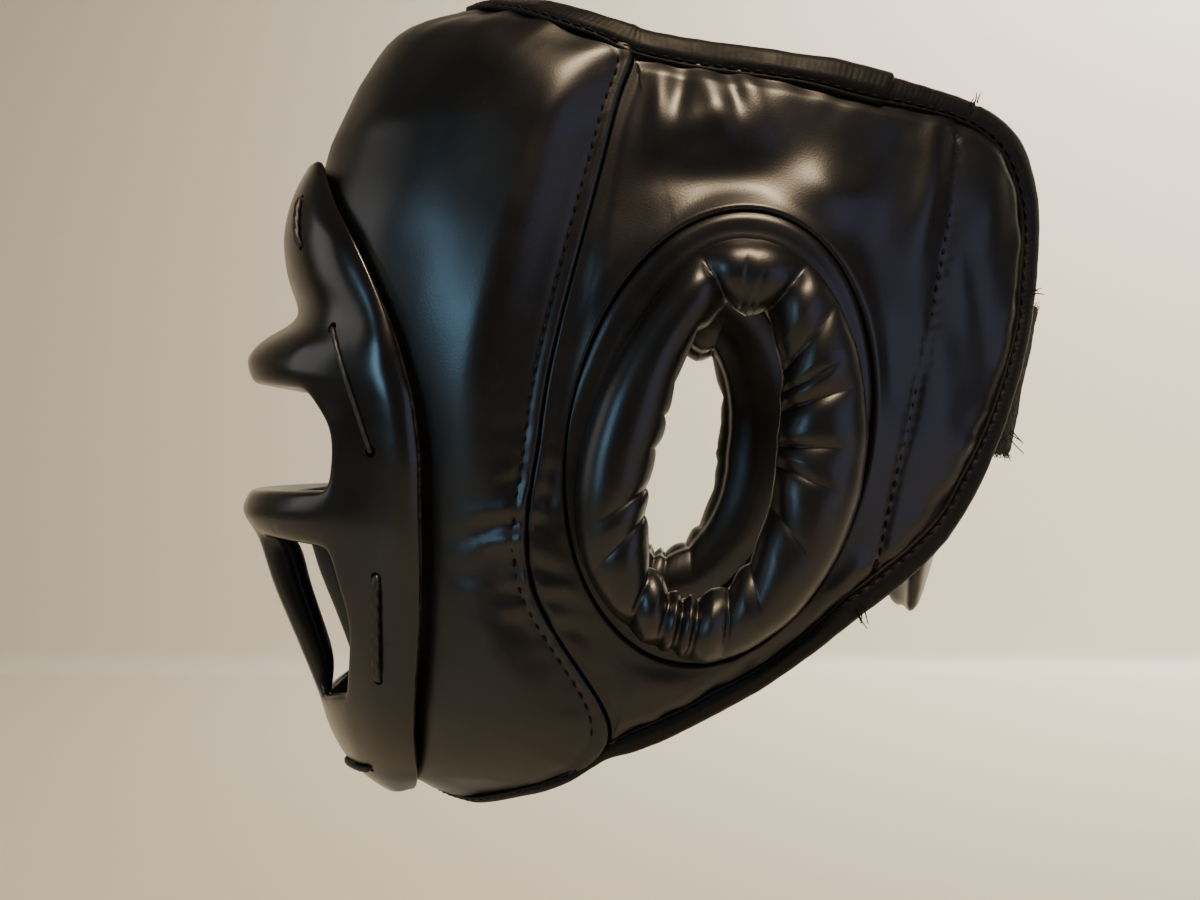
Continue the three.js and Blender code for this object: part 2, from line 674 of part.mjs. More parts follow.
// Moulded cage: a curved plate with its openings and bars, less the lace holes.
function faceCage() {
  const rows = (CAGE_RIBS.length - 1) * CAGE_ROWS_PER_RIB + 1;
  const places = Array.from({ length: rows }, (_, i) => i / CAGE_ROWS_PER_RIB);
  const columns = cageShares(0).length;
  const grid = (layer) =>
    places.map((place) => {
      const shares = cageShares(place);
      const half = shares.map((share, j) => {
        const point = cagePoint(share, place);
        const onBar = j === 2 || j === 3;
        const barRows = place >= MOUTH_RIBS[0] && place <= MOUTH_RIBS[1];
        const depth = onBar && barRows ? CAGE_BAR_DEPTH : CAGE_THICKNESS;
        return point.addScaledVector(cageNormal(share, place), -depth * layer);
      });
      half[0].x = 0;
      const other = half.slice(1).reverse().map((p) => new THREE.Vector3(-p.x, p.y, p.z));
      return [...other, ...half];
    });
  const keep = (i, j) => {
    const place = i / CAGE_ROWS_PER_RIB;
    const cell = j >= columns - 1 ? j - (columns - 1) : columns - 2 - j;
    const inOpening = cell < 5;
    const inSlot = place >= EYE_SLOT_RIBS[0] && place < EYE_SLOT_RIBS[1];
    const inMouth = place >= MOUTH_RIBS[0] && place < MOUTH_RIBS[1];
    return !(inOpening && (inSlot || (inMouth && cell !== 2)));
  };
  let solid = toSolid(wallBetween(grid(0), grid(1), false, keep));
  for (const lace of LACES) {
    for (const side of SIDES) {
      solid = solid.subtract(toSolid(onSide(laceTube(lace, LACE_RADIUS + GAP), side.sign)));
      for (const end of ["from", "to"]) {
        const share = lace[`${end}_share`];
        const place = lace[`${end}_rib`];
        const normal = cageNormal(share, place);
        const hole = new THREE.CylinderGeometry(LACE_HOLE_RADIUS, LACE_HOLE_RADIUS, 14, 10);
        const turn = new THREE.Quaternion().setFromUnitVectors(new THREE.Vector3(0, 1, 0), normal);
        hole.applyQuaternion(turn);
        hole.translate(...cagePoint(share, place).toArray());
        hole.deleteAttribute("normal");
        hole.deleteAttribute("uv");
        solid = solid.subtract(toSolid(onSide(mergeVertices(hole, 1e-3), side.sign)));
      }
    }
  }
  return fromSolid(solid);
}

// Middle line of the strap at one height, as a plan curve.
function strapCurve(z) {
  const lean = STRAP_LEAN * (z - STRAP_MID_Z);
  const beside = STRAP_THICKNESS / 2 + 2 * GAP;
  const left = STRAP_ON_LEFT.map((y) => {
    const point = panelPoint(y + lean, z);
    return point.addScaledVector(panelNormal(y + lean, z), -PANEL_THICKNESS - beside);
  });
  const right = STRAP_ON_RIGHT.map((y) => {
    const point = panelPoint(y + lean, z).addScaledVector(panelNormal(y + lean, z), beside + 2.5 * GAP);
    return new THREE.Vector3(-point.x, point.y, z);
  });
  const behind = STRAP_BEHIND.map((row) => new THREE.Vector3(row.x, row.y + lean, z));
  const points = [...left, ...behind, ...right].map((p) => new THREE.Vector2(p.x, p.y));
  return new THREE.SplineCurve(points);
}

// Strap as a thin band, a little wider than its middle line on both faces.
function closureStrap() {
  const outer = [];
  const inner = [];
  for (let i = 0; i <= STRAP_STEPS; i += 1) {
    const rowOuter = [];
    const rowInner = [];
    for (const s of [-0.5, 0, 0.5]) {
      const z = STRAP_MID_Z + s * STRAP_WIDTH;
      const curve = strapCurve(z);
      const p = curve.getPoint(i / STRAP_STEPS);
      const t = curve.getTangent(i / STRAP_STEPS);
      const away = new THREE.Vector3(t.y, -t.x, 0);
      const middle = new THREE.Vector3(p.x, p.y, z);
      rowOuter.push(middle.clone().addScaledVector(away, STRAP_THICKNESS / 2));
      rowInner.push(middle.clone().addScaledVector(away, -STRAP_THICKNESS / 2));
    }
    outer.push(rowOuter);
    inner.push(rowInner);
  }
  return wallBetween(outer, inner, false);
}

// Neck pad as level sections, thin at its sides.
function neckPad() {
  const outer = [];
  const inner = [];
  for (const row of NECK_PAD) {
    const rowOuter = [];
    const rowInner = [];
    for (const s of [-1, -0.88, -0.5, 0, 0.5, 0.88, 1]) {
      const x = s * row.half_width;
      const y = row.y - NECK_CURVE * x * x;
      const edge = Math.abs(s) === 1 ? 0.3 : 0;
      rowOuter.push(new THREE.Vector3(x, y - edge * row.thickness, row.z));
      rowInner.push(new THREE.Vector3(x, y - (1 - edge) * row.thickness, row.z));
    }
    outer.push(rowOuter);
    inner.push(rowInner);
  }
  return wallBetween(outer, inner, false);
}

const headGuard = new THREE.Group();
headGuard.name = "head_guard";

function place(name, geometry, material) {
  const shown = geometry.clone();
  shown.computeVertexNormals();
  const mesh = new THREE.Mesh(shown, new THREE.MeshStandardMaterial(MATERIALS[material]));
  mesh.name = name;
  headGuard.add(mesh);
}

const pad = frontPadGrids();
const panel = earPanelGrids(pad);
place("front_pad", wallBetween(pad.outer, pad.inner, true), "vinyl");

const stepsPerSpoke = PAD_STEPS / (2 * PAD_SPOKES.length - 2);
const crownReach = PAD_CROWN_SPOKE * stepsPerSpoke - 1;
const jawReach = PAD_JAW_SPOKE * stepsPerSpoke + 1;
const crownRows = [];
for (let i = -crownReach; i <= crownReach; i += 1) {
  crownRows.push((i + PAD_STEPS) % PAD_STEPS);
}
const chinRows = [];
for (let i = jawReach; i <= PAD_STEPS - jawReach; i += 1) {
  chinRows.push(i);
}
place("forehead_binding", tapeAlong(edgeStations(pad, crownRows)), "tape");
place("chin_binding", tapeAlong(edgeStations(pad, chinRows)), "tape");

const seamCount = panel.bound.filter((bound) => bound === 0).length;
const panelRows = panel.bound.map((_, i) => i).slice(seamCount - 1);
panelRows.push(0);
const panelWall = wallBetween(panel.outer, panel.inner, true);
const panelTape = tapeAlong(edgeStations(panel, panelRows));
const roll = earRoll();
for (const side of SIDES) {
  place(`ear_panel_${side.name}`, onSide(panelWall, side.sign), "vinyl");
  place(`ear_panel_binding_${side.name}`, onSide(panelTape, side.sign), "tape");
  place(`ear_roll_${side.name}`, onSide(roll, side.sign), "vinyl");
}

place("face_cage", faceCage(), "plastic");
for (const lace of LACES) {
  for (const side of SIDES) {
    place(`lace_${lace.name}_${side.name}`, onSide(laceTube(lace, LACE_RADIUS), side.sign), "cord");
  }
}

place("closure_strap", closureStrap(), "webbing");
place("neck_pad", neckPad(), "vinyl");

export default headGuard;
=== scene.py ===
"""Looks of a padded head guard with a moulded face cage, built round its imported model.

Shapes are worked out in millimetres: +Z up, the wearer faces -Y and the wearer's left is +X.
Meshes are in metres, in the model's own frame.
"""

import bpy
import numpy as np
from mathutils import Matrix, Vector


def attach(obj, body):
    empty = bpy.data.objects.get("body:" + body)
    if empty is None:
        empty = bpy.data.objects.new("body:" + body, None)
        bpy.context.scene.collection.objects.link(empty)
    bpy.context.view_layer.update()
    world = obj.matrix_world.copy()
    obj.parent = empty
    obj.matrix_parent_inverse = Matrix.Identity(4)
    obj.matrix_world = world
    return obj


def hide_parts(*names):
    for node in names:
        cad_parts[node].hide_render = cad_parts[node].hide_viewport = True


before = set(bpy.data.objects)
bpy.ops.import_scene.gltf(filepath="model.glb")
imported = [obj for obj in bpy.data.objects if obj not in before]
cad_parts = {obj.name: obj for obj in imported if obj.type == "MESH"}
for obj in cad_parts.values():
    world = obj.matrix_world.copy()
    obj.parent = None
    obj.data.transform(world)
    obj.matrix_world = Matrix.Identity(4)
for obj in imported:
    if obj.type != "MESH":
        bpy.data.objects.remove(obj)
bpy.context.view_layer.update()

bl_info = {
    "name": "Padded head guard",
    "version": (1, 0, 0),
    "blender": (4, 5, 0),
    "location": "View3D > Sidebar > Head Guard",
    "description": "Builds a padded vinyl head guard with a moulded face cage",
    "category": "Add Mesh",
}

MM = 0.001
SIDES = (("left", 1.0), ("right", -1.0))

# Front pad. Level sections of its outer form from the chin up: z, front, half width.
PAD_CENTRE_Y = -20.0
PAD_SQUARENESS = 2.5
PAD_THICKNESS = 25.0
PAD_EDGE_ROLL = 13.0
PAD_RIM_DIP = 5.0
PAD_RIM_FALL = 24.0
PAD_BORDER = 10.0
PAD_FORM = np.array([
    (-119, -78, 45), (-113, -95, 59), (-99, -107, 74), (-78, -111, 85), (-45, -109, 92),
    (-10, -112, 95), (25, -120, 94.5), (61, -127, 92), (92, -121, 87), (110, -113, 81),
    (122, -106, 75), (131, -98, 65), (140, -86, 49), (148, -69, 28),
], float)

# Spokes of the ring on the left side, crown to chin: edge angle, edge z, rim angle, rim z, sewn.
PAD_SPOKES = np.array([
    (0, 44, 0, 146, 0), (13, 43, 32, 143, 0), (25, 37, 66, 132, 0.1), (29.5, 30.8, 83.4, 119.7, 0.5),
    (32, 26, 89, 113, 1), (33.4, 19.5, 87.6, 95, 1), (35, 10, 84, 56, 1), (36, -10, 77, 4, 1),
    (35, -30, 74, -38, 1), (31, -48, 86, -86, 1), (21, -58, 58, -111, 0), (10, -62, 27, -115, 0),
    (0, -63, 0, -114, 0),
], float)
PAD_RING = np.vstack([PAD_SPOKES, PAD_SPOKES[-2:0:-1] * (-1, 1, -1, 1, 1)])

# Places round the ring: where the tape leaves the pad, and where the seam and its stitches run.
PAD_CROWN_END = 3.6
PAD_JAW_END = 9.25
SEAM_SPAN = (3.3, 9.6)
SEAM_SEWN = 0.97
STITCH_SPAN = (4.05, 8.98)
STITCH_PLACES = 400

# Skin of the pad, by distance from its rim: its points, the seam's fold, stitches, ridge and drag lines, the
# creases and the crown's gathers.
PAD_NEAR_RIM = np.array([0, 0.2, 0.5, 0.9, 1.4, 2, 2.6, 3.2, 3.8, 4.6, 5.6, 7, 9, 11.5, 14.5, 18, 22, 26])
PAD_PLACES = 700
PAD_REST_STEPS = 32
PAD_INNER_COLUMNS = 18
PAD_CAP_COLUMNS = 7
PAD_FOLD = 1.2
STITCH_INSET = 3.6
STITCH_SINK = 0.4
STITCH_VALLEY = 0.5
STITCH_VALLEY_WIDTH = 1.15
SEAM_RIDGE = 0.8
SEAM_RIDGE_PLACE = 1.4
SEAM_RIDGE_WIDTH = 0.9
SEAM_DRAG_REACH = 20.0
PUCKER_Z = -32.0
PUCKER_SPREAD = 26.0
CREASE_START = 8.0
CREASE_REACH = 26.0
CROWN_Z = 40.0
CROWN_RISE = 40.0
CROWN_GATHER_REACH = 30.0

# Ear panels: outer face as a lateral reach, and the bound edge from the jaw round the back: y, z.
PANEL_REACH = 88.0
PANEL_BACK_START = 8.0
PANEL_BACK_CURVE = 0.0037
PANEL_CROWN_CURVE = 0.0011
PANEL_JAW_CURVE = 0.0014
PANEL_THICKNESS = 9.0
RIM_THICKNESS = 5.0
SEAM_LIP = 1.0
SEAM_GAP = 0.25
PANEL_EDGE = np.array([
    (-17, -83), (11, -67), (38, -47), (60, -31), (75, -11), (88.5, 18.5), (96, 48), (98, 70),
    (94, 86), (82, 95.5), (50.5, 101), (24, 105.5), (-4.5, 110),
], float)

# Stitched line that parts the rear flap from the rest of a panel: y, z.
FLAP_LINE = np.array([(71, 88), (68, 66), (64, 48), (58.5, 25), (51.5, -3), (43, -42)], float)
FLAP_TOP = 96.0
FLAP_SINK = 0.8
FLAP_FADE = 6.0
FLAP_VALLEY_WIDTH = 0.9
FLAP_DIP_WIDTH = 4.0
FLAP_STITCH_ENDS = (3.0, 2.0)

# Skin of a panel: points as shares from the ear hole to the edge and round its outline, then its welt,
# rounds, gathers and drag lines.
PANEL_COLUMNS = np.concatenate([
    np.linspace(0, 0.12, 6, endpoint=False),
    np.linspace(0.12, 0.8, 21, endpoint=False),
    np.linspace(0.8, 1, 17),
])
PANEL_SEAM_POINTS = 210
PANEL_EDGE_POINTS = 380
PANEL_WELT = 2.6
PANEL_INNER_COLUMNS = 14
PANEL_SEAM_ROUND = 1.3
PANEL_HOLE_ROUND = 1.0
PANEL_GATHER_PITCH = 13.0
PANEL_GATHER_HEIGHT = 0.16
JAW_DRAG_Z = -30.0
JAW_DRAG_SPREAD = 24.0

# Soft dents and swells of an ear panel: y, z, half length, half width, turn in degrees, height.
PANEL_SWELLS = np.array([
    (-3, 88, 15, 9, 4, 2.7), (-3, 73.5, 16, 6.5, 0, -1.4), (-16, 95, 3, 13, -6, 0.9),
    (-10, 97, 2.8, 9, -8, -0.7), (-1, 95, 3.4, 10, 14, 0.8), (5, 97, 2.4, 8, 10, -0.7),
    (10.5, 97, 3, 9, 16, 0.7), (31, 68, 11, 8, -14, 2.3), (60.5, 72, 4, 22, -12, 1.5),
    (50, 78, 5, 22, -10, -0.7), (44, 50, 10, 24, 18, -1.4), (60, 20, 8, 26, 12, 1.4),
    (30, -44, 22, 7, 32, 1.4), (-14, -66, 12, 7, 30, 1.2), (80, 62, 8, 22, -4, 1.6),
    (77, 28, 6, 22, 12, -0.8), (70, 44, 3.5, 16, 10, 0.9),
], float)

# Short creases of the front pad beside the seam: y0, z0, y1, z1, width, depth.
PAD_CREASES = np.array([
    (-76, -28, -53, -22.5, 2.6, 0.55), (-74, -38.5, -53, -31.5, 2.8, 0.6), (-70, -48, -55, -41, 2.6, 0.4),
    (-65, -17, -52, -12, 2.2, 0.4), (-66, -58, -52, -52, 2.8, 0.4), (-70, 60, -52, 72, 4.0, 0.4),
], float)

# Ear opening and roll. Reach away from the opening and into it, at eight places from the top round the back.
EAR_LEAN = 11.0
ROLL_HALF_LENGTH = 50.0
ROLL_HALF_WIDTH = 28.5
ROLL_HOLE = 12.8
ROLL_ROOT = 12.65
ROLL_RISE = 14.5
ROLL_SHELF = -1.1
ROLL_FLANGE = 17.0
ROLL_FLANGE_THICKNESS = 2.5
ROLL_FLANGE_GAP = 0.4
ROLL_SECTIONS = np.array([
    (4, 13), (6.8, 13.3), (9.5, 13), (10, 10.2), (9.5, 8), (10, 9.9), (6.5, 12.5), (3.6, 13),
], float)
ROLL_ARC = (230.0, -50.0)
ROLL_TALL = 10.5
ROLL_TONGUE = 3.0
ROLL_TONGUE_SPREAD = 0.024
ROLL_PLACES = 640
ROLL_COLUMNS = 44

# Shelf between the roll's root and its tube: share of the way, and rise under the collar.
ROLL_SHELF_STEPS = (
    (0.015, -0.3), (0.06, 0.1), (0.14, 0.5), (0.25, 0.9), (0.4, 0.5), (0.55, 0.7), (0.7, 1.0), (0.85, 0.3),
)

# Collar of a panel over the top of the ear hole: height, place and spread round it, and width.
COLLAR_HEIGHT = 5.0
COLLAR_PLACE = 0.02
COLLAR_SPREAD = 0.17
COLLAR_WIDTH = 9.0

# Pleats of a roll: place round it from the top, half width, depth, where it starts and ends across
# the tube (0 in the opening, 1 outside), and slant, as a shift of place over the tube.
ROLL_PLEATS = np.array([
    (0.971, 0.010, 4.0, 0.00, 0.80, -0.048), (0.029, 0.010, 3.8, 0.00, 0.80, 0.025),
    (0.992, 0.006, 0.9, 0.00, 0.66, 0.0), (0.008, 0.006, 0.8, 0.00, 0.62, 0.0),
    (0.084, 0.012, 2.6, 0.16, 0.76, -0.018), (0.117, 0.010, 1.5, 0.22, 0.64, 0.020),
    (0.152, 0.014, 2.1, 0.22, 0.74, 0.012), (0.235, 0.015, 1.9, 0.22, 0.64, -0.014),
    (0.290, 0.014, 1.6, 0.22, 0.60, 0.010), (0.369, 0.014, 1.4, 0.22, 0.64, 0.012),
    (0.433, 0.011, 1.8, 0.08, 0.62, 0.010), (0.462, 0.008, 2.8, 0.02, 0.80, 0.016),
    (0.492, 0.006, 3.2, 0.00, 0.90, 0.006), (0.506, 0.006, 3.6, 0.00, 1.00, 0.0),
    (0.521, 0.008, 3.2, 0.00, 0.95, -0.006), (0.550, 0.010, 3.4, 0.05, 0.95, -0.012),
    (0.597, 0.009, 1.4, 0.10, 0.75, 0.0), (0.630, 0.009, 1.4, 0.06, 0.66, 0.0),
    (0.700, 0.011, 1.7, 0.00, 0.36, 0.0), (0.783, 0.011, 1.9, 0.00, 0.36, 0.0),
    (0.860, 0.012, 1.2, 0.00, 0.32, 0.0), (0.935, 0.012, 2.2, 0.00, 0.38, 0.0),
], float)

# Folded tape: share of a leg from its cut edge and height there in walls, then what changes along the edge.
TAPE_LEG = (
    (0.0, 0.0), (0.02, 0.5), (0.07, 0.85), (0.14, 0.9), (0.22, 0.45), (0.3, 0.2), (0.38, 0.6), (0.5, 1.0),
    (0.65, 1.2), (0.8, 1.28), (0.92, 1.2),
)
TAPE_STEP = 1.1
TAPE_GAP = 0.55
TAPE_PUFF = (1.2, 2.8)
TAPE_STITCH_SHARE = 0.34
TAPE_CORNER = (96.0, 74.0)
TAPE_CORNER_SPREAD = (16.0, 26.0)
TAPE_CHIN = (-22.0, -66.0)
TAPE_CHIN_FADE = 16.0
TAPE_FOLD_STEPS = 11
TAPE_LAP_START = 22.0
TAPE_LAP_END = 49.5

# Face cage: its plate, the shoulder along its rim, and its ribs from crown to chin: y and z on the mid plane,
# y and z at the rim, opening's share.
CAGE_FULLNESS = 1.1
CAGE_RIM_GAP = 1.4
CAGE_PLATE = 3.2
CAGE_RIM_SWELL = 2.3
CAGE_SWELL_RIBS = (2.5, 14.0)
CAGE_SWELL_FADE = 3.0
CAGE_SWELL_START = 21.0
CAGE_SWELL_RISE = 16.5
CAGE_SWELL_FALL = 4.0
CAGE_SHARP_ANGLE = 0.9
CAGE_RIB_LENGTH = 91.0
CAGE_RIBS = np.array([
    (-126, 92, -115, 80, 0.62), (-132, 81, -109, 69, 0.62), (-136, 66, -102, 57, 0.62),
    (-134, 50.5, -96, 45, 0.62), (-130.5, 40, -91, 34, 0.62), (-142, 34, -88, 26, 0.61),
    (-149, 27, -86, 19, 0.61), (-146, 18, -84, 12, 0.62), (-145, 7, -83, 4, 0.69),
    (-145, -4, -82, -5, 0.695), (-147, -14, -82, -14, 0.685), (-151, -21.5, -82, -23, 0.67),
    (-146, -29, -82, -32, 0.68), (-141, -45, -82.5, -43, 0.7), (-133.5, -62, -83, -54, 0.695),
    (-125, -82, -84.5, -70, 0.6), (-122.5, -90, -86, -84, 0.57), (-116, -102, -89, -99, 0.57),
    (-103, -113, -91, -109, 0.57),
], float)
EYE_SLOT = (7.0, 10.0)
MOUTH = (12.0, 15.0)
BAR_SHARES = (0.245, 0.325)
BAR_FOOT = 0.65

# Columns of the cage's grid: shares of a rib up to the bar, of the way to the opening's end, and to the rim.
CAGE_MIDDLE_SHARES = (0, 0.09, 0.18)
CAGE_OPEN_SHARES = (0.25, 0.6, 0.88, 1.0)
CAGE_RIM_SHARES = (0.1, 0.32, 0.52, 0.7, 0.84, 0.94, 1.0)

# Cross bars of the cage, visor and cheek bar: place among ribs, half of the full part, fall and depth.
CROSS_BARS = ((6.6, 0.2, 0.8, 7.5), (11.0, 0.8, 0.5, 8.5))
CAGE_PLACES = np.array([
    0, 0.15, 0.6, 1, 1.5, 2, 2.5, 3, 3.5, 4, 4.5, 5, 5.5, 6, 6.5, 7, 7.5, 8, 8.5, 9, 9.5, 10, 10.5, 11,
    11.5, 12, 12.4, 13, 13.5, 14, 14.6, 15, 15.4, 16, 16.5, 17, 17.4, 17.75, 18,
])

# Lace stitches: share of the rib and place among ribs at both ends, cord radius, and if it lies straight in
# the side view.
LACES = {
    "forehead": (0.6, 1.1, 0.6, 2.2, 1.0, False),
    "temple": (0.7, 4.4, 0.84, 8.8, 0.65, True),
    "cheek": (0.845, 12.6, 0.8, 14.8, 1.3, True),
    "chin": (0.66, 16.9, 0.36, 16.9, 0.9, False),
}
LACE_STOPS = np.array([0, 0.06, 0.2, 0.4, 0.6, 0.8, 0.94, 1.0])
LACE_LIFTS = np.array([-0.9, 0.5, 1, 1.02, 1.02, 1, 0.5, -0.9]) * 0.62
LACE_TAIL = 5.2
LACE_HOLE_STOPS = np.array([-8.0, -2.0, 3.0, 8.0])
LACE_PLACES = 120
LACE_AROUND = 18
LACE_TWIST = 4.2
KNOT_SIZE = 2.0
KNOT_PLACE = 1.1
KNOT_SPREAD = 1.2

# Closure strap in plan, and the neck pad's level sections: z, y, half width, thickness.
STRAP_MID_Z = 19.0
STRAP_LEAN = 0.2
STRAP_BESIDE = 2.0
STRAP_LAP_LIFT = 1.0
STRAP_ROWS = 220
STRAP_COLUMNS = 40
STRAP_ON_LEFT = np.array([58.0, 71.0, 83.0])
STRAP_ON_RIGHT = np.array([87.0, 74.0, 60.0])
STRAP_BEHIND = np.array([(41, 95), (22, 102.5), (0, 104.8), (-24, 104), (-46.5, 100.8)], float)
FRAY_COUNT = 420
FRAY_RADIUS = 0.14
NECK_CURVE = 0.009
NECK_SHRINK = 2.4
NECK_ROWS = 60
NECK_COLUMNS = 64
NECK_PAD = np.array([
    (-58, 73, 12, 5), (-54, 76.5, 19, 10), (-42, 80, 25, 13), (-22, 86, 28, 13), (-6, 94.5, 28, 12),
    (10, 101, 28, 11), (34, 106, 27, 8), (38, 106.8, 26, 5),
], float)

# Unevenness of each surface: height, size of its waves and seed.
RIPPLES = {
    "pad_pucker": (0.5, 9, 3), "pad_lip": (0.5, 7, 4), "pad_drag": (0.7, 7, 5), "pad_gathers": (0.55, 11, 6),
    "pad_broad": (0.35, 70, 7), "pad_fine": (0.12, 26, 8), "pad_inner": (0.5, 40, 9),
    "panel_gather_shift": (1.3, 30, 11), "panel_gather": (0.6, 9, 12), "panel_broad": (0.5, 45, 13),
    "panel_fine": (0.15, 17, 14), "panel_drag": (0.8, 9, 15),
    "roll_broad": (0.35, 30, 21), "roll_fine": (0.18, 10, 22), "roll_shelf": (0.2, 14, 23),
    "tape_width": (0.06, 24, 31), "tape_broad": (0.1, 16, 32), "tape_fine": (0.04, 5, 33),
    "strap_edge": (0.5, 5, 41), "strap_fine": (0.1, 2.2, 42), "strap_broad": (0.15, 14, 43),
}
RIPPLE_WAVES = 10

# Loose thread ends: y, z where they start on the panel's edge, their run in y and z, and how many.
LOOSE_THREADS = np.array([
    (77.5, 97.5, 1.8, 4.0, 5), (95, 44, 3.2, 0.6, 3), (86, 2, 3.4, -2.6, 4), (39, -46.6, 1.4, -4.4, 4),
], float)
LOOSE_THREAD_RADIUS = 0.24

# Stage, in metres: the floor's bend into the wall, its reach each way, and what the lights are aimed at.
FLOOR_BEND = 0.03
FLOOR_FRONT = 6.0
FLOOR_SIDE = 5.0
WALL_HEIGHT = 5.0
GUARD_MIDDLE = (0.0, -0.02, 0.02)
WALL_SPOT = (-1.3, 1.4, 0.6)

# Lights: setting that holds the power, place, aim, width and height, colour, spread in degrees.
LIGHTS = {
    "window": ("window_power", (0.85, -0.95, 0.27), GUARD_MIDDLE, (0.28, 0.46), (0.37, 0.7, 1.0), 180),
    "lamp": ("lamp_power", (0.56, 0.19, 1.1), GUARD_MIDDLE, (0.4, 0.13), (1.0, 0.76, 0.49), 180),
    "fill": ("fill_power", (1.1, 1.2, 0.15), GUARD_MIDDLE, (1.2, 1.2), (0.56, 0.63, 1.0), 180),
    "room": ("front_power", (0.05, -1.7, 0.45), GUARD_MIDDLE, (0.8, 0.9), (1.0, 0.97, 0.94), 180),
    "wash": ("wash_power", (-0.6, 1.5, 1.5), WALL_SPOT, (2.4, 0.5), (1.0, 0.97, 0.92), 108),
}

# Turns a camera to look along -X with +Z up.
CAMERA_TURN = Matrix(((0, 0, 1, 0), (1, 0, 0, 0), (0, 1, 0, 0), (0, 0, 0, 1)))
CAMERA_SENSOR = 36.0
CAMERA_NEAR = 0.01


def unit(value):
    """Numbers held between 0 and 1."""
    return np.clip(value, 0.0, 1.0)


def ease(value):
    """Smooth step: 3s^2 - 2s^3 for s held between 0 and 1."""
    s = unit(value)
    return s * s * (3 - 2 * s)


def round_over(value):
    """Fall of a quarter round: 1 - sqrt(1 - (1 - s)^2), 1 at its start and 0 from one radius on."""
    s = 1 - unit(value)
    return 1 - np.sqrt(1 - s * s)


def mix(a, b, share):
    """Straight line from a to b."""
    return a + (b - a) * share


def hump(value):
    """Bell curve of a distance in half widths: exp(-d^2)."""
    return np.exp(-np.square(value))


def signed_power(value, power):
    """Power of a signed number that keeps its sign."""
    return np.sign(value) * np.abs(value) ** power


def normal_of(vectors):
    """Vectors brought to length 1."""
    return vectors / np.maximum(np.linalg.norm(vectors, axis=-1, keepdims=True), 1e-9)


def row_at(rows, place, closed=False):
    """Rows of a table at fractional places: cubic pieces whose slopes come from the neighbours."""
    count = len(rows)
    place = np.asarray(place, float)
    k = np.floor(place).astype(int)
    if not closed:
        k = np.clip(k, 0, count - 2)
    a, b, c, d = (rows[(k + i) % count if closed else np.clip(k + i, 0, count - 1)] for i in (-1, 0, 1, 2))
    s = (place - k)[..., None]
    p, q = (c - a) / 2, (d - b) / 2
    return b + p * s + (3 * (c - b) - 2 * p - q) * s ** 2 + (2 * (b - c) + p + q) * s ** 3


def along(points):
    """Distance along a line of points, from its first."""
    steps = np.linalg.norm(np.diff(points, axis=0), axis=1)
    return np.concatenate([[0.0], np.cumsum(steps)])


def at_distance(points, distance, values=None):
    """Values of a line of points at distances along it, straight between its points."""
    place = along(points)
    values = points if values is None else values
    distance = np.asarray(distance, float)
    flat = [np.interp(distance.ravel(), place, column) for column in values.T]
    return np.stack(flat, -1).reshape(*distance.shape, values.shape[1])


def ripple(points, name):
    """Smooth unevenness of about one size and height: a sum of sine waves in seeded directions."""
    height, size, seed = RIPPLES[name]
    draw = np.random.default_rng(seed)
    direction = normal_of(draw.normal(size=(RIPPLE_WAVES, 3)))
    pitch = size * draw.uniform(0.7, 1.5, (RIPPLE_WAVES, 1))
    phase = draw.uniform(0, 2 * np.pi, RIPPLE_WAVES)
    waves = np.sin(points @ (direction * 2 * np.pi / pitch).T + phase)
    return height * waves.sum(-1) / np.sqrt(RIPPLE_WAVES)


def pad_row(z):
    """Front and half width of the pad's level section at each height."""
    heights = PAD_FORM[:, 0]
    k = np.clip(np.searchsorted(heights, z) - 1, 0, len(heights) - 2)
    share = unit((z - heights[k]) / (heights[k + 1] - heights[k]))
    row = row_at(PAD_FORM, k + share)
    return row[..., 1], row[..., 2]


def pad_form(angle, z):
    """Pad's outer form: a squared ellipse round the level section, by angle in degrees and height."""
    front, half_width = pad_row(z)
    turn = np.radians(angle)
    power = 2 / PAD_SQUARENESS
    x = half_width * signed_power(np.sin(turn), power)
    y = PAD_CENTRE_Y + (front - PAD_CENTRE_Y) * signed_power(np.cos(turn), power)
    return np.stack([x, y, z + 0 * x], -1)


def pad_form_x(y, z):
    """Lateral place of the pad's outer form: the same squared ellipse solved for x."""
    front, half_width = pad_row(z)
    depth = unit((y - PAD_CENTRE_Y) / (front - PAD_CENTRE_Y))
    return half_width * (1 - depth ** PAD_SQUARENESS) ** (1 / PAD_SQUARENESS)


def pad_normal(angle, z):
    """Outward direction of the pad's form, as the cross product of its two slopes."""
    level = pad_form(angle + 2, z) - pad_form(angle - 2, z)
    up = pad_form(angle, z + 1.5) - pad_form(angle, z - 1.5)
    return normal_of(np.cross(level, up))


def panel_reach(y, z):
    """Panel's outer face: a lateral reach less squared falls to the back, the crown and the jaw."""
    back = PANEL_BACK_CURVE * np.maximum(y - PANEL_BACK_START, 0) ** 2
    crown = PANEL_CROWN_CURVE * np.maximum(z, 0) ** 2
    jaw = PANEL_JAW_CURVE * np.minimum(z, 0) ** 2
    return PANEL_REACH - back - crown - jaw


def panel_point(y, z):
    """Point of the panel's outer face at a place in the side view: its reach, y and z."""
    return np.stack([panel_reach(y, z), y, z], -1)


def panel_normal(y, z):
    """Outward direction of the panel's face, from its slopes along y and z."""
    dy = (panel_reach(y + 1, z) - panel_reach(y - 1, z)) / 2
    dz = (panel_reach(y, z + 1) - panel_reach(y, z - 1)) / 2
    return normal_of(np.stack([np.ones_like(dy), -dy, -dz], -1))


def on_panel(spot, height=0.0):
    """Points over the panel's face: places in the side view, moved out along its normal by a height."""
    y, z = spot[..., 0], spot[..., 1]
    return panel_point(y, z) + panel_normal(y, z) * np.asarray(height)[..., None]


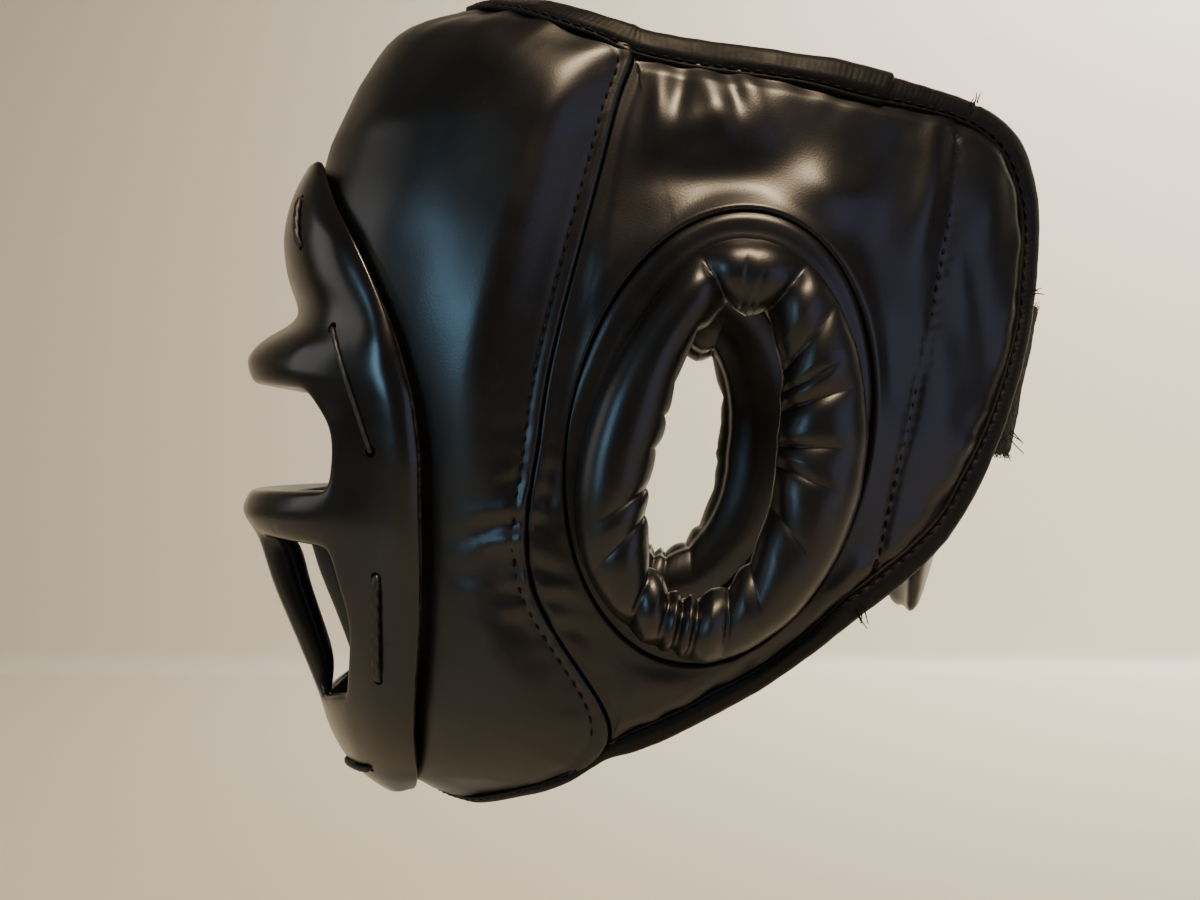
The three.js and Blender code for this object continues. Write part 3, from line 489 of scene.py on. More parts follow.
def pad_spokes(place):
    """Spokes at fractional places round the ring, with their length, the dip of the rim and its thickness."""
    row = row_at(PAD_RING, place, True)[:, :, None]
    names = ("edge_angle", "edge_z", "rim_angle", "rim_z", "sewn")
    spoke = {name: row[:, i] for i, name in enumerate(names)}
    spoke["sewn"] = unit(spoke["sewn"])
    share = np.linspace(0, 1, 25)
    angle = mix(spoke["edge_angle"], spoke["rim_angle"], share)
    line = pad_form(angle, mix(spoke["edge_z"], spoke["rim_z"], share))
    spoke["length"] = np.linalg.norm(np.diff(line, axis=1), axis=-1).sum(1)[:, None]
    rim = line[:, -1]
    proud = np.abs(rim[:, 0]) - panel_reach(rim[:, 1], rim[:, 2]) - SEAM_LIP
    spoke["dip"] = mix(PAD_RIM_DIP, np.maximum(proud, 0)[:, None], spoke["sewn"])
    spoke["rim_thickness"] = mix(RIM_THICKNESS, PANEL_THICKNESS, spoke["sewn"])
    return spoke


def pad_layers(spoke, from_rim):
    """Pad's form, inward direction, depth of its skin and thickness, at distances from the rim.

    The depth is a quarter round at the face's edge plus a smooth fall to the rim.
    """
    share = 1 - from_rim / spoke["length"]
    angle = mix(spoke["edge_angle"], spoke["rim_angle"], share)
    z = mix(spoke["edge_z"], spoke["rim_z"], share)
    near = ease(1 - from_rim / PAD_RIM_FALL)
    roll = round_over(share * spoke["length"] / PAD_EDGE_ROLL)
    full = ease((from_rim - PAD_BORDER) / PAD_RIM_FALL)
    depth = 0.45 * PAD_THICKNESS * roll + spoke["dip"] * near
    thick = mix(spoke["rim_thickness"], PAD_THICKNESS, full) * (1 - 0.6 * roll)
    point = pad_form(angle, z)
    across = -panel_normal(point[..., 1], point[..., 2])
    across[..., 0] *= np.where(point[..., 0] < 0, -1, 1)
    inward = normal_of(mix(-pad_normal(angle, z), across, (spoke["sewn"] * near)[..., None]))
    return point, inward, depth, thick


def crease_depth(y, z, rows):
    """Short creases: a valley along each segment with a low ridge beside it, fading out at both ends."""
    depth = np.zeros_like(y)
    for y0, z0, y1, z1, width, deep in rows:
        length = np.hypot(y1 - y0, z1 - z0)
        ty, tz = (y1 - y0) / length, (z1 - z0) / length
        ahead = ((y - y0) * ty + (z - z0) * tz) / length
        beside = ((z - z0) * ty - (y - y0) * tz) / width + 0.5 * np.sin(ahead * 7)
        fade = np.sin(np.pi * unit(ahead)) ** 0.7
        depth += deep * fade * (hump(beside) - 0.65 * hump(beside - 2) - 0.25 * hump(beside + 2.2))
    return depth


def swell_height(y, z, rows):
    """Soft swells and dents: a sum of turned oval bell curves."""
    height = np.zeros_like(y)
    for y0, z0, long, wide, turn, high in rows:
        c, s = np.cos(np.radians(turn)), np.sin(np.radians(turn))
        ahead = (y - y0) * c + (z - z0) * s
        beside = (z - z0) * c - (y - y0) * s
        height += high * hump(np.hypot(ahead / long, beside / wide))
    return height


def line_distance(y, z, path):
    """Distance from a line of straight pieces in the side view, with its sign, and the place along it."""
    best = np.full(np.shape(y), 1e9)
    signed, place = np.zeros_like(best), np.zeros_like(best)
    start = along(path)
    for k in range(len(path) - 1):
        step = path[k + 1] - path[k]
        length = np.hypot(*step)
        ty, tz = step / length
        ahead = np.clip((y - path[k, 0]) * ty + (z - path[k, 1]) * tz, 0, length)
        gap_y, gap_z = y - path[k, 0] - ahead * ty, z - path[k, 1] - ahead * tz
        gap = np.hypot(gap_y, gap_z)
        side = np.sign(gap_z * ty - gap_y * tz)
        closer = gap < best
        best = np.where(closer, gap, best)
        signed = np.where(closer, gap * side, signed)
        place = np.where(closer, start[k] + ahead, place)
    return signed, place


def grid_faces(rows, columns, close_rows=False, close_columns=False):
    """Four-sided faces of a grid of points, and the row and column of each of their corners."""
    steps = np.arange(rows - (not close_rows)), np.arange(columns - (not close_columns))
    i, j = np.meshgrid(*steps, indexing="ij")
    corner_i = np.stack([i, i + 1, i + 1, i], -1).reshape(-1, 4)
    corner_j = np.stack([j, j, j + 1, j + 1], -1).reshape(-1, 4)
    return (corner_i % rows) * columns + corner_j % columns, corner_i, corner_j


def outward(points, faces):
    """Faces of a closed mesh, turned round if its signed volume is negative."""
    a, b, c, d = (points[faces[:, i]] for i in range(4))
    volume = (a * np.cross(b, c)).sum() + (a * np.cross(c, d)).sum()
    return faces if volume > 0 else faces[:, ::-1]


def make_mesh(name, points, faces, uv=None, marks=None):
    """Mesh object from points in millimetres and four-sided faces, with uv at corners and marks at points."""
    mesh = bpy.data.meshes.new(name)
    mesh.vertices.add(len(points))
    mesh.vertices.foreach_set("co", (np.asarray(points) * MM).astype(np.float32).ravel())
    mesh.loops.add(faces.size)
    mesh.loops.foreach_set("vertex_index", faces.astype(np.int32).ravel())
    mesh.polygons.add(len(faces))
    mesh.polygons.foreach_set("loop_start", np.arange(0, faces.size, 4, dtype=np.int32))
    mesh.polygons.foreach_set("use_smooth", np.ones(len(faces), bool))
    mesh.update(calc_edges=True)
    if uv is not None:
        layer = mesh.uv_layers.new(name="lengths")
        layer.data.foreach_set("uv", (uv * MM).astype(np.float32).ravel())
    for key, values in (marks or {}).items():
        mark = mesh.attributes.new(key, "FLOAT", "POINT")
        mark.data.foreach_set("value", np.asarray(values, np.float32).ravel())
    mesh.validate()
    made = bpy.data.objects.new(name, mesh)
    bpy.context.scene.collection.objects.link(made)
    return made


def surface(name, grid, close_rows=True, close_columns=True, lengths=None):
    """Mesh of a grid of points, with its faces outwards. lengths gives its rows' and columns' uv places."""
    rows, columns = grid.shape[:2]
    points = grid.reshape(-1, 3)
    faces, corner_i, corner_j = grid_faces(rows, columns, close_rows, close_columns)
    turned = outward(points, faces)
    uv = None
    if lengths is not None:
        order = slice(None) if turned is faces else slice(None, None, -1)
        uv = np.stack([lengths[0][corner_i[:, order]], lengths[1][corner_j[:, order]]], -1)
    return make_mesh(name, points, turned, uv)


def band(name, grid):
    """Mesh of a grid whose columns go once round a flat section, closed at both ends by strips of faces."""
    rows, columns = grid.shape[:2]
    points = grid.reshape(-1, 3)
    j = np.arange(columns // 2 - 1)
    strip = np.stack([j, j + 1, columns - 2 - j, columns - 1 - j], -1)
    sides = grid_faces(rows, columns, False, True)[0]
    faces = np.vstack([sides, strip, strip[:, ::-1] + (rows - 1) * columns])
    return make_mesh(name, points, outward(points, faces))


def tubes(name, lines, over, radius, around=6):
    """Thin round tubes: rings about each line's points, set out by the directions over and across it.

    lines and over are arrays of strand, place and xyz. radius is one of strand, place and angle, or less.
    The number of points around is even, and a fan of four-sided faces closes each end.
    """
    strands, places = lines.shape[:2]
    ahead = normal_of(np.gradient(lines, axis=1))
    side = normal_of(np.cross(ahead, over))
    over = np.cross(side, ahead)
    turn = np.arange(around) * 2 * np.pi / around
    radius = np.broadcast_to(radius, (strands, places, around))[..., None]
    ring = over[:, :, None] * np.cos(turn)[:, None] + side[:, :, None] * np.sin(turn)[:, None]
    points = (lines[:, :, None] + radius * ring).reshape(-1, 3)
    k = 2 * np.arange(1, around // 2)
    cap = np.stack([0 * k, k - 1, k, k + 1], -1)
    sides = grid_faces(places, around, False, True)[0]
    one = np.vstack([sides, cap[:, ::-1], cap + (places - 1) * around])
    every = (one[None] + (np.arange(strands) * places * around)[:, None, None]).reshape(-1, 4)
    return make_mesh(name, points, outward(points, every))


def claim(made, material, nodes=()):
    """Gives a piece its material and body, and hides the imported nodes it stands for."""
    made.data.materials.clear()
    made.data.materials.append(material)
    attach(made, "root")
    if nodes:
        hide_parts(*nodes)


def mirrored(grid, sign):
    """Points on the left, or on the right when sign is -1."""
    return grid * np.array([sign, 1.0, 1.0])


# Shapes of the pieces.


def ring_places(count):
    """Places round the pad's ring at even distances along a line near its rim."""
    fine = np.linspace(0, len(PAD_RING), 2001)
    spoke = pad_spokes(fine)
    line = pad_layers(spoke, 0.2 * spoke["length"])[0][:, 0]
    place = along(line)
    return np.interp(np.arange(count) * place[-1] / count, place, fine)


def pad_seam_sink(point, from_rim, run, stitch_pitch):
    """Depth of the skin along the sewn rim: a stitched valley with puckers, a raised lip and drag lines.

    Each is a bell curve of the distance from the rim, made uneven by ripples that grow towards the jaw.
    """
    low = hump((point[..., 2] - PUCKER_Z) / PUCKER_SPREAD)
    pucker = 0.55 + 0.3 * np.cos(2 * np.pi * run / stitch_pitch) + low * ripple(point, "pad_pucker")
    valley = hump((from_rim - STITCH_INSET) / STITCH_VALLEY_WIDTH) * (0.55 + 0.45 * np.clip(pucker, 0, 2))
    ridge = hump((from_rim - SEAM_RIDGE_PLACE) / SEAM_RIDGE_WIDTH) * (0.7 + ripple(point, "pad_lip"))
    drag = low * ease(1 - from_rim / SEAM_DRAG_REACH) * ripple(point * (0.35, 0.35, 1), "pad_drag")
    return STITCH_VALLEY * valley - (0.12 + 0.5 * low) * SEAM_RIDGE * ridge + drag


def pad_soft_sink(point, from_rim, spoke):
    """Depth of the skin elsewhere: creases by the jaw, gathers under the crown's tape, broad unevenness."""
    x, y, z = np.moveaxis(point, -1, 0)
    creases = crease_depth(y, z, PAD_CREASES) * ease(1 - (from_rim - CREASE_START) / CREASE_REACH)
    crown = (1 - spoke["sewn"]) * ease((z - CROWN_Z) / CROWN_RISE) * ease(1 - from_rim / CROWN_GATHER_REACH)
    gathers = crown * ripple(np.stack([x, 0.6 * y, 0.25 * z], -1), "pad_gathers")
    soft = ease(from_rim / 30) * ease((spoke["length"] - from_rim) / 20)
    return creases + gathers - soft * (ripple(point, "pad_broad") + ripple(point, "pad_fine"))


def front_pad_grid(count, stitch_pitch):
    """Closed section carried round the face ring: outer skin from edge to rim, inner skin back, and a cap.

    The outer skin is the pad's form less its edge roll, the fall to the rim, the fold at the seam and the
    sinks of its stitches, creases and gathers. The cap joins both skins at the face by half an oval.
    """
    spoke = pad_spokes(ring_places(count))
    near = np.broadcast_to(PAD_NEAR_RIM, (count, len(PAD_NEAR_RIM)))
    rest = mix(PAD_NEAR_RIM[-1], spoke["length"], np.linspace(0, 1, PAD_REST_STEPS + 1)[1:] ** 0.9)
    from_rim = np.hstack([near, rest])[:, ::-1]
    point, inward, depth, _ = pad_layers(spoke, from_rim)
    rim_line = point[:, -1]
    run = along(np.vstack([rim_line, rim_line[:1]]))[:-1, None]
    fold = round_over(from_rim / PAD_FOLD)
    sink = spoke["sewn"] * pad_seam_sink(point, from_rim, run, stitch_pitch)
    sink = sink + pad_soft_sink(point, from_rim, spoke)
    outer = point + inward * (depth + fold + sink)[..., None]
    back = mix(0.0, spoke["length"], np.linspace(0, 1, PAD_INNER_COLUMNS) ** 1.2)
    point, inward, depth, thick = pad_layers(spoke, back)
    uneven = ripple(point, "pad_inner") * ease(back / 20)
    inner = point + inward * (depth + thick + uneven - 0.5 * fold[:, -1:] * hump(back / 3))[..., None]
    first, last = outer[:, :1], inner[:, -1:]
    half = np.linalg.norm(first - last, axis=-1, keepdims=True) / 2
    into = normal_of(outer[:, 6:7] - first)
    turn = np.linspace(0, np.pi, PAD_CAP_COLUMNS + 2)[1:-1, None]
    cap = (first + last) / 2 + (last - first) / 2 * np.cos(turn) + into * 0.6 * half * np.sin(turn)
    return np.concatenate([outer, inner, cap], 1)


def pad_border(places):
    """Outer rim, inner rim, outer border and inner border of the pad, at places round its ring."""
    spoke = pad_spokes(places)
    point, inward, depth, thick = pad_layers(spoke, np.broadcast_to([0.0, PAD_BORDER], (len(places), 2)))
    outer = point + inward * depth[..., None]
    inner = outer + inward * thick[..., None]
    return [outer[:, 0], inner[:, 0], outer[:, 1], inner[:, 1]], spoke["sewn"][:, 0]


def seam_line(count):
    """Panel's front edge in the side view: the pad's sewn rim, moved on by the seam's gap.

    Its angles about the ear are made to rise by a least step, so that no two spokes of the panel cross.
    """
    (rim, _, border, _), sewn = pad_border(np.linspace(*SEAM_SPAN, 400))
    rim, border = rim[:, 1:], border[:, 1:]
    line = (rim + normal_of(rim - border) * SEAM_GAP)[sewn > SEAM_SEWN]
    line = at_distance(line, np.linspace(0, along(line)[-1], count))
    least_step = 2e-5
    angle = np.maximum.accumulate(np.arctan2(line[:, 1], line[:, 0]) % (2 * np.pi))
    angle = angle + least_step * np.arange(count)
    return np.hypot(line[:, 0], line[:, 1])[:, None] * np.stack([np.cos(angle), np.sin(angle)], -1)


def panel_outline(seam_count, edge_count):
    """Outline of a panel in the side view, down the seam and on along the bound edge; and what is bound."""
    seam = seam_line(seam_count)
    stops = np.vstack([seam[-1:], PANEL_EDGE, seam[:1]])
    edge = row_at(stops, np.linspace(0, len(stops) - 1, 2000))
    edge = at_distance(edge, np.linspace(0, along(edge)[-1], edge_count + 2)[1:-1])
    bound = np.concatenate([np.zeros(seam_count), np.ones(edge_count)])
    return np.vstack([seam, edge]), bound


def ear_oval(angle, offset):
    """Point of the ear oval grown by an offset: the polar form of an ellipse that leans back."""
    long, wide = ROLL_HALF_LENGTH + offset, ROLL_HALF_WIDTH + offset
    turn = angle - np.radians(90 - EAR_LEAN)
    size = long * wide / np.hypot(wide * np.cos(turn), long * np.sin(turn))
    return np.stack([size * np.cos(angle), size * np.sin(angle)], -1)


def collar_lift(angle):
    """How far a panel is pushed out along the ear hole: a bell curve over the top of the oval."""
    place = (np.radians(90 - EAR_LEAN) - angle) / (2 * np.pi)
    place = (place + 0.5) % 1 - 0.5
    return COLLAR_HEIGHT * hump((place - COLLAR_PLACE) / COLLAR_SPREAD)


def even_angles(outline, reach=24):
    """Angles of a closed outline's points about the ear, averaged along it so that they only go one way."""
    angle = np.unwrap(np.arctan2(outline[:, 1], outline[:, 0]))
    turn = np.sign(angle[-1] - angle[0]) * 2 * np.pi
    wide = np.concatenate([angle[-reach:] - turn, angle, angle[:reach] + turn])
    weight = hump(np.arange(-reach, reach + 1) / (0.5 * reach))
    return np.convolve(wide, weight / weight.sum(), "valid")


def panel_rim(outline):
    """Outer rim, inner rim, outer border and inner border along a panel's outline, as the tape meets them."""
    hole = ear_oval(np.arctan2(outline[:, 1], outline[:, 0]), ROLL_HOLE)
    length = np.linalg.norm(outline - hole, axis=-1, keepdims=True)
    border = mix(hole, outline, 1 - np.minimum(PAD_BORDER, 0.4 * length) / length)
    sunk = (PANEL_THICKNESS - RIM_THICKNESS) / 2
    return [on_panel(line, -depth) for line in (outline, border) for depth in (sunk, sunk + RIM_THICKNESS)]


def panel_relief(sign, spot, run, from_edge, from_hole, bound, stitch_pitch):
    """Height of a panel's skin over its face.

    The skin is rounded at the hole and the seam, dips at the flap's stitches, and has swells and dents,
    gathers along the tape, a fine unevenness and drag lines by the jaw.
    """
    y, z = spot[..., 0], spot[..., 1]
    point = mirrored(on_panel(spot), sign)
    seam = 1 - bound
    height = -seam * (0.9 * round_over(from_edge / PANEL_SEAM_ROUND) + 0.3 * hump((from_edge - 6) / 3))
    height = height - 0.9 * round_over(from_hole / PANEL_HOLE_ROUND)
    gap, place = line_distance(y, z, FLAP_LINE)
    pucker = 0.8 + 0.2 * np.cos(2 * np.pi * place / stitch_pitch)
    flap = 0.9 * hump(gap / FLAP_VALLEY_WIDTH) * pucker + 0.5 * hump(gap / FLAP_DIP_WIDTH)
    height = height - ease((FLAP_TOP - z) / FLAP_FADE) * flap
    inside = ease((from_edge - 2) / 5) * ease(from_hole / 7)
    uneven = ripple(point, "panel_broad") + ripple(point, "panel_fine")
    height = height + inside * (swell_height(y, z, PANEL_SWELLS) + uneven)
    gather = np.sin(2 * np.pi * run / PANEL_GATHER_PITCH + ripple(point, "panel_gather_shift"))
    gather = PANEL_GATHER_HEIGHT * (gather + ripple(point, "panel_gather"))
    height = height + bound * gather * ease(from_edge / 5) * ease(1 - (from_edge - 5) / 12)
    drag = ripple(point * (1, 0.5, 1), "panel_drag") * ease(from_edge / 3) * ease(1 - from_edge / 16)
    return height + seam * hump((z - JAW_DRAG_Z) / JAW_DRAG_SPREAD) * drag


def ear_panel_grid(sign, stitch_pitch):
    """Closed section carried round a panel's outline: outer skin from ear hole to edge, inner skin back.

    The outer skin is the panel's face with its relief and the collar over the ear, sunk to the thin border
    under the tape. A welt behind the seam lies between the two skins.
    """
    outline, bound = panel_outline(PANEL_SEAM_POINTS, PANEL_EDGE_POINTS)
    bound = ease(np.convolve(np.pad(bound, 6, "wrap"), np.ones(13) / 13, "valid"))[:, None]
    angle = even_angles(outline)
    hole = ear_oval(angle, ROLL_HOLE)
    length = np.linalg.norm(outline - hole, axis=-1, keepdims=True)
    run = along(np.vstack([outline, outline[:1]]))[:-1, None]
    rim_thick = mix(PANEL_THICKNESS, RIM_THICKNESS, bound)
    shares = PANEL_COLUMNS
    spot = mix(hole[:, None], outline[:, None], shares[:, None])
    from_edge, from_hole = (1 - shares) * length, shares * length
    thick = mix(rim_thick, PANEL_THICKNESS, ease((from_edge - 4) / 6))
    height = panel_relief(sign, spot, run, from_edge, from_hole, bound, stitch_pitch)
    collar = collar_lift(angle)[:, None] * np.exp(-from_hole / COLLAR_WIDTH) * ease(from_edge / 12)
    outer = on_panel(spot, height + collar - 0.75 * (PANEL_THICKNESS - thick) / 2)
    shares = np.linspace(1, 0, PANEL_INNER_COLUMNS)
    spot = mix(hole[:, None], outline[:, None], shares[:, None])
    thick = mix(rim_thick, PANEL_THICKNESS, ease(((1 - shares) * length - 5) / 13))
    inner = on_panel(spot, 0.8 * round_over(shares * length / 3) - (PANEL_THICKNESS + thick) / 2)
    lip = outline + normal_of(outline - hole) * PANEL_WELT * (1 - bound)
    welt = on_panel(lip, -PANEL_THICKNESS / 2)
    return mirrored(np.concatenate([outer, welt[:, None], inner], 1), sign)


def pleat_depth(place, across):
    """Gathers of a roll: a sharp valley at each pleat, exp(-distance / width), over its part of the tube."""
    depth = np.zeros(np.broadcast_shapes(place.shape, across.shape))
    for at, width, deep, start, end, slant in ROLL_PLEATS:
        gap = np.abs((place - at - slant * (across - 0.3) + 0.5) % 1 - 0.5)
        fade = ease((across - start + 0.12) / 0.14) * ease((end - across) / 0.25)
        depth = np.maximum(depth, deep * fade * np.exp(-gap / width))
    return depth


def ear_roll_grid(sign, pleat_scale):
    """Stuffed tube swept round the ear oval, with a shelf, a root and a flat flange behind the panel.

    The tube's section is an oval arc over 280 degrees; pleats press it in and its lobes swell between them.
    """
    place = np.linspace(0, 1, ROLL_PLACES, endpoint=False)[:, None]
    angle = np.radians(90 - EAR_LEAN) - 2 * np.pi * place
    reach, into = np.moveaxis(row_at(ROLL_SECTIONS, place * len(ROLL_SECTIONS), True), -1, 0)
    into = into + ROLL_TONGUE * hump(((place + 0.5) % 1 - 0.5) / ROLL_TONGUE_SPREAD)
    across = np.linspace(1, 0, ROLL_COLUMNS)[None, :]
    arc = np.radians(mix(*ROLL_ARC, across))
    half, middle = (reach + into) / 2, (reach - into) / 2
    spot = on_panel(ear_oval(angle, middle + 0 * across))
    signed = mirrored(spot, sign)
    sag = pleat_scale * pleat_depth(place, across)
    uneven = ripple(signed, "roll_broad") + ripple(signed, "roll_fine") * hump((place - 0.25) / 0.4)
    offset = middle + (half + uneven - sag + 0.5) * np.cos(arc)
    height = ROLL_RISE - ROLL_TALL + (ROLL_TALL + uneven - sag) * np.sin(arc)
    lift = collar_lift(angle)
    shelf = ROLL_SHELF + lift + ripple(spot[:, :1], "roll_shelf")
    top = -PANEL_THICKNESS - ROLL_FLANGE_GAP
    back = top - ROLL_FLANGE_THICKNESS
    start, end = offset[:, :1], offset[:, -1:]
    rows = [(ROLL_FLANGE, back), (ROLL_FLANGE, top), (ROLL_ROOT, top), (ROLL_ROOT, shelf - 2)]
    rows += [(mix(ROLL_ROOT, start, share), shelf + rise * unit(lift)) for share, rise in ROLL_SHELF_STEPS]
    rows += [(offset, height), (end + 0.5, top + 1), (end + 2.5, back), ((end + 2.5 + ROLL_FLANGE) / 2, back)]
    offset, height = (np.hstack([row[k] + 0 * place for row in rows]) for k in range(2))
    return mirrored(on_panel(ear_oval(angle, offset), height), sign)


def tape_stations():
    """Outer rim, inner rim, outer border and inner border all round the bound edge, at even distances.

    They go over the crown, down the left panel, under the chin and up the right panel, and are then averaged
    along the edge with the weights of a bell curve.
    """
    outline, bound = panel_outline(60, 400)
    panel = panel_rim(outline[bound > 0.5])
    crown = pad_border(np.linspace(-PAD_CROWN_END, PAD_CROWN_END, 300))[0]
    jaw = pad_border(np.linspace(PAD_JAW_END, len(PAD_RING) - PAD_JAW_END, 300))[0]
    parts = [crown, [line[::-1] for line in panel], jaw, [mirrored(line, -1) for line in panel]]
    lines = [np.vstack([part[k] for part in parts]) for k in range(4)]
    loops = [np.vstack([line, line[:1]]) for line in lines]
    total = along(loops[0])[-1]
    count = int(total / TAPE_STEP)
    place = np.arange(count) * total / count
    even = at_distance(loops[0], place, np.hstack(loops))
    reach = 12
    weights = hump(np.arange(-reach, reach + 1) / (0.5 * reach))
    wrapped = np.vstack([even[-reach:], even, even[:reach]])
    smooth = sum(weight * wrapped[k:k + count] for k, weight in enumerate(weights / weights.sum()))
    return place, total, smooth.reshape(count, 4, 3)


def tape_grid(width, wall):
    """Folded tape: a leg on each face of the border and a round over the rim, carried along the bound edge.

    The leg rises from its cut edge to a ridge, dips at its stitches and swells to the rim. It is wider round
    the rear corners and fuller over the crown, and one end laps over the other near the rear left corner.
    """
    place, total, lines = tape_stations()
    outer_rim, inner_rim, outer_border, inner_border = np.moveaxis(lines, 1, 0)
    across = normal_of(outer_rim - inner_rim)
    out = outer_rim + inner_rim - outer_border - inner_border
    out = out - across * (out * across).sum(-1, keepdims=True)
    reach = np.linalg.norm(out, axis=-1, keepdims=True) / 2
    out = normal_of(out)
    x, y, z = (outer_rim[:, i:i + 1] for i in range(3))
    (corner_y, corner_z), (spread_y, spread_z) = TAPE_CORNER, TAPE_CORNER_SPREAD
    corner = hump((y - corner_y) / spread_y) * hump((z - corner_z) / spread_z)
    chin = ease((TAPE_CHIN[0] - y) / TAPE_CHIN_FADE) * ease((TAPE_CHIN[1] - z) / TAPE_CHIN_FADE)
    lapped = (x > 0) & (z > 60) & (y > TAPE_LAP_START) & (y < TAPE_LAP_END)
    lap = lapped * ease((y - TAPE_LAP_START) / 12)
    tuck = hump((y - 76 - 0.5 * (z - 96)) / 0.9) * (z > 85) * (x > 0)
    puff = mix(*TAPE_PUFF, ease((z - 75) / 20)) * (1 - chin)
    uneven = 1 + ripple(outer_rim, "tape_width")[:, None]
    rough = (ripple(outer_rim, "tape_broad") + ripple(outer_rim, "tape_fine"))[:, None]
    leg = width * (1 + 0.6 * corner - 0.5 * chin) * uneven + 0.7 * lap
    tall = (wall + 0.9 * lap + rough - 0.6 * tuck) * (1 - 0.45 * chin)
    share = np.minimum(leg / reach, 0.95)
    ends = mix(outer_rim, outer_border, share), mix(inner_rim, inner_border, share)
    end_across = normal_of(ends[0] - ends[1])

    def on_leg(face, part, height):
        """Points on one leg and the way up there, at a share from its cut edge and a height in walls."""
        up = mix(end_across, across, part) * (1, -1)[face]
        return mix(ends[face], (outer_rim, inner_rim)[face], part) + up * (TAPE_GAP + tall * height), up

    legs = [[on_leg(face, *stop)[0] for stop in TAPE_LEG] for face in range(2)]
    half = np.linalg.norm(outer_rim - inner_rim, axis=-1, keepdims=True) / 2 + TAPE_GAP + 1.15 * tall
    rim_out = TAPE_GAP + 1.1 * tall + 0.9 * (1 - chin) + puff
    centre = (outer_rim + inner_rim) / 2
    fold = [centre + across * half * signed_power(np.cos(turn), 0.8) + out * rim_out * np.sin(turn) ** 0.8
            for turn in np.linspace(0, np.pi, TAPE_FOLD_STEPS)]
    bed = 0.6 * TAPE_GAP
    under = [ends[1] - end_across * bed, inner_rim - across * bed + out * 0.3]
    under += [outer_rim + across * bed + out * 0.3, ends[0] + end_across * bed]
    grid = np.stack(legs[0] + fold + legs[1][::-1] + under, 1)
    around = along(grid[0])
    lengths = np.append(place, total), np.append(around, around[-1] + 1)
    stitches = [on_leg(face, TAPE_STITCH_SHARE, 0.62) for face in range(2)]
    return grid, lengths, stitches


def stitch_row(name, path, over, size, lift):
    """Row of stitches along a line: short tubes that rise and dive as a half sine, one to each pitch."""
    pitch, radius = size["stitch_pitch"], size["thread_radius"]
    total = along(path)[-1]
    count = int(total / pitch)
    share = np.linspace(0, 1, 6)
    start = (np.arange(count) + 0.5) * total / count
    spot = start[:, None] + (share - 0.5) * 0.74 * pitch
    up = normal_of(at_distance(path, spot, over))
    arch = np.sin(np.pi * share)
    height = (lift + 0.5 * radius) * arch - 0.9 * radius * (1 - arch)
    line = at_distance(path, spot) + up * height[:, None]
    return tubes(name, line, up, radius * np.sqrt(np.maximum(arch, 0.08))[None, :, None])


def loose_threads(name, sign):
    """Short thin curves that leave an edge and droop, their ends spread by seeded draws."""
    draw = np.random.default_rng(61)
    rows = np.repeat(LOOSE_THREADS, LOOSE_THREADS[:, 4].astype(int), axis=0)
    count = len(rows)
    start = panel_point(rows[:, 0], rows[:, 1])
    start = start + draw.normal(scale=(0.3, 0.9, 0.9), size=(count, 3))
    run = np.stack([draw.normal(1.0, 1.2, count), rows[:, 2], rows[:, 3]], -1)
    end = start + run * draw.uniform(0.5, 1.1, (count, 1))
    end = end + draw.normal(scale=0.8, size=(count, 3))
    bend = draw.normal(scale=0.5, size=(count, 1, 3))
    s = np.linspace(0, 1, 7)[None, :, None]
    droop = np.array([0, 0, 0.8]) * s ** 2
    line = mix(start[:, None], end[:, None], s) + bend * np.sin(np.pi * s) - droop
    over = np.broadcast_to(normal_of(np.array([1.0, 0.3, 0.2])), line.shape)
    return tubes(name, mirrored(line, sign), mirrored(over, sign), LOOSE_THREAD_RADIUS * (1 - 0.5 * s))


def cage_point(share, place):
    """Cage's outer face: a quarter of a squared oval from the mid plane to the rim, carried down the ribs."""
    rib = row_at(CAGE_RIBS, place)
    y, z, rim_y, rim_z = (rib[..., i] for i in range(4))
    rim_x = pad_form_x(rim_y, rim_z) + CAGE_PLATE + CAGE_RIM_GAP
    turn = share * np.pi / 2
    x = rim_x * np.sin(turn)
    return np.stack([
        x,
        rim_y + (y - rim_y) * np.abs(np.cos(turn)) ** CAGE_FULLNESS,
        z + (rim_z - z) * np.sin(turn) ** 2,
    ], -1)


def cage_normal(share, place):
    """Outward direction of the cage's face, as the cross product of its two slopes."""
    last = len(CAGE_RIBS) - 1
    level = cage_point(np.minimum(share + 0.02, 0.995), place) - cage_point(share - 0.02, place)
    up = cage_point(share, np.maximum(place - 0.1, 0)) - cage_point(share, np.minimum(place + 0.1, last))
    return normal_of(np.cross(level, up))


def cage_swell(share, place):
    """Height of the shoulder along the cage's rim: a smooth rise that falls again in the last 4 mm."""
    from_rim = (1 - share) * CAGE_RIB_LENGTH
    first, last = CAGE_SWELL_RIBS
    along_rim = ease((place - first) / CAGE_SWELL_FADE) * ease((last - place) / CAGE_SWELL_FADE)
    rise = ease((CAGE_SWELL_START - from_rim) / CAGE_SWELL_RISE)
    return CAGE_RIM_SWELL * along_rim * rise * ease(from_rim / CAGE_SWELL_FALL)


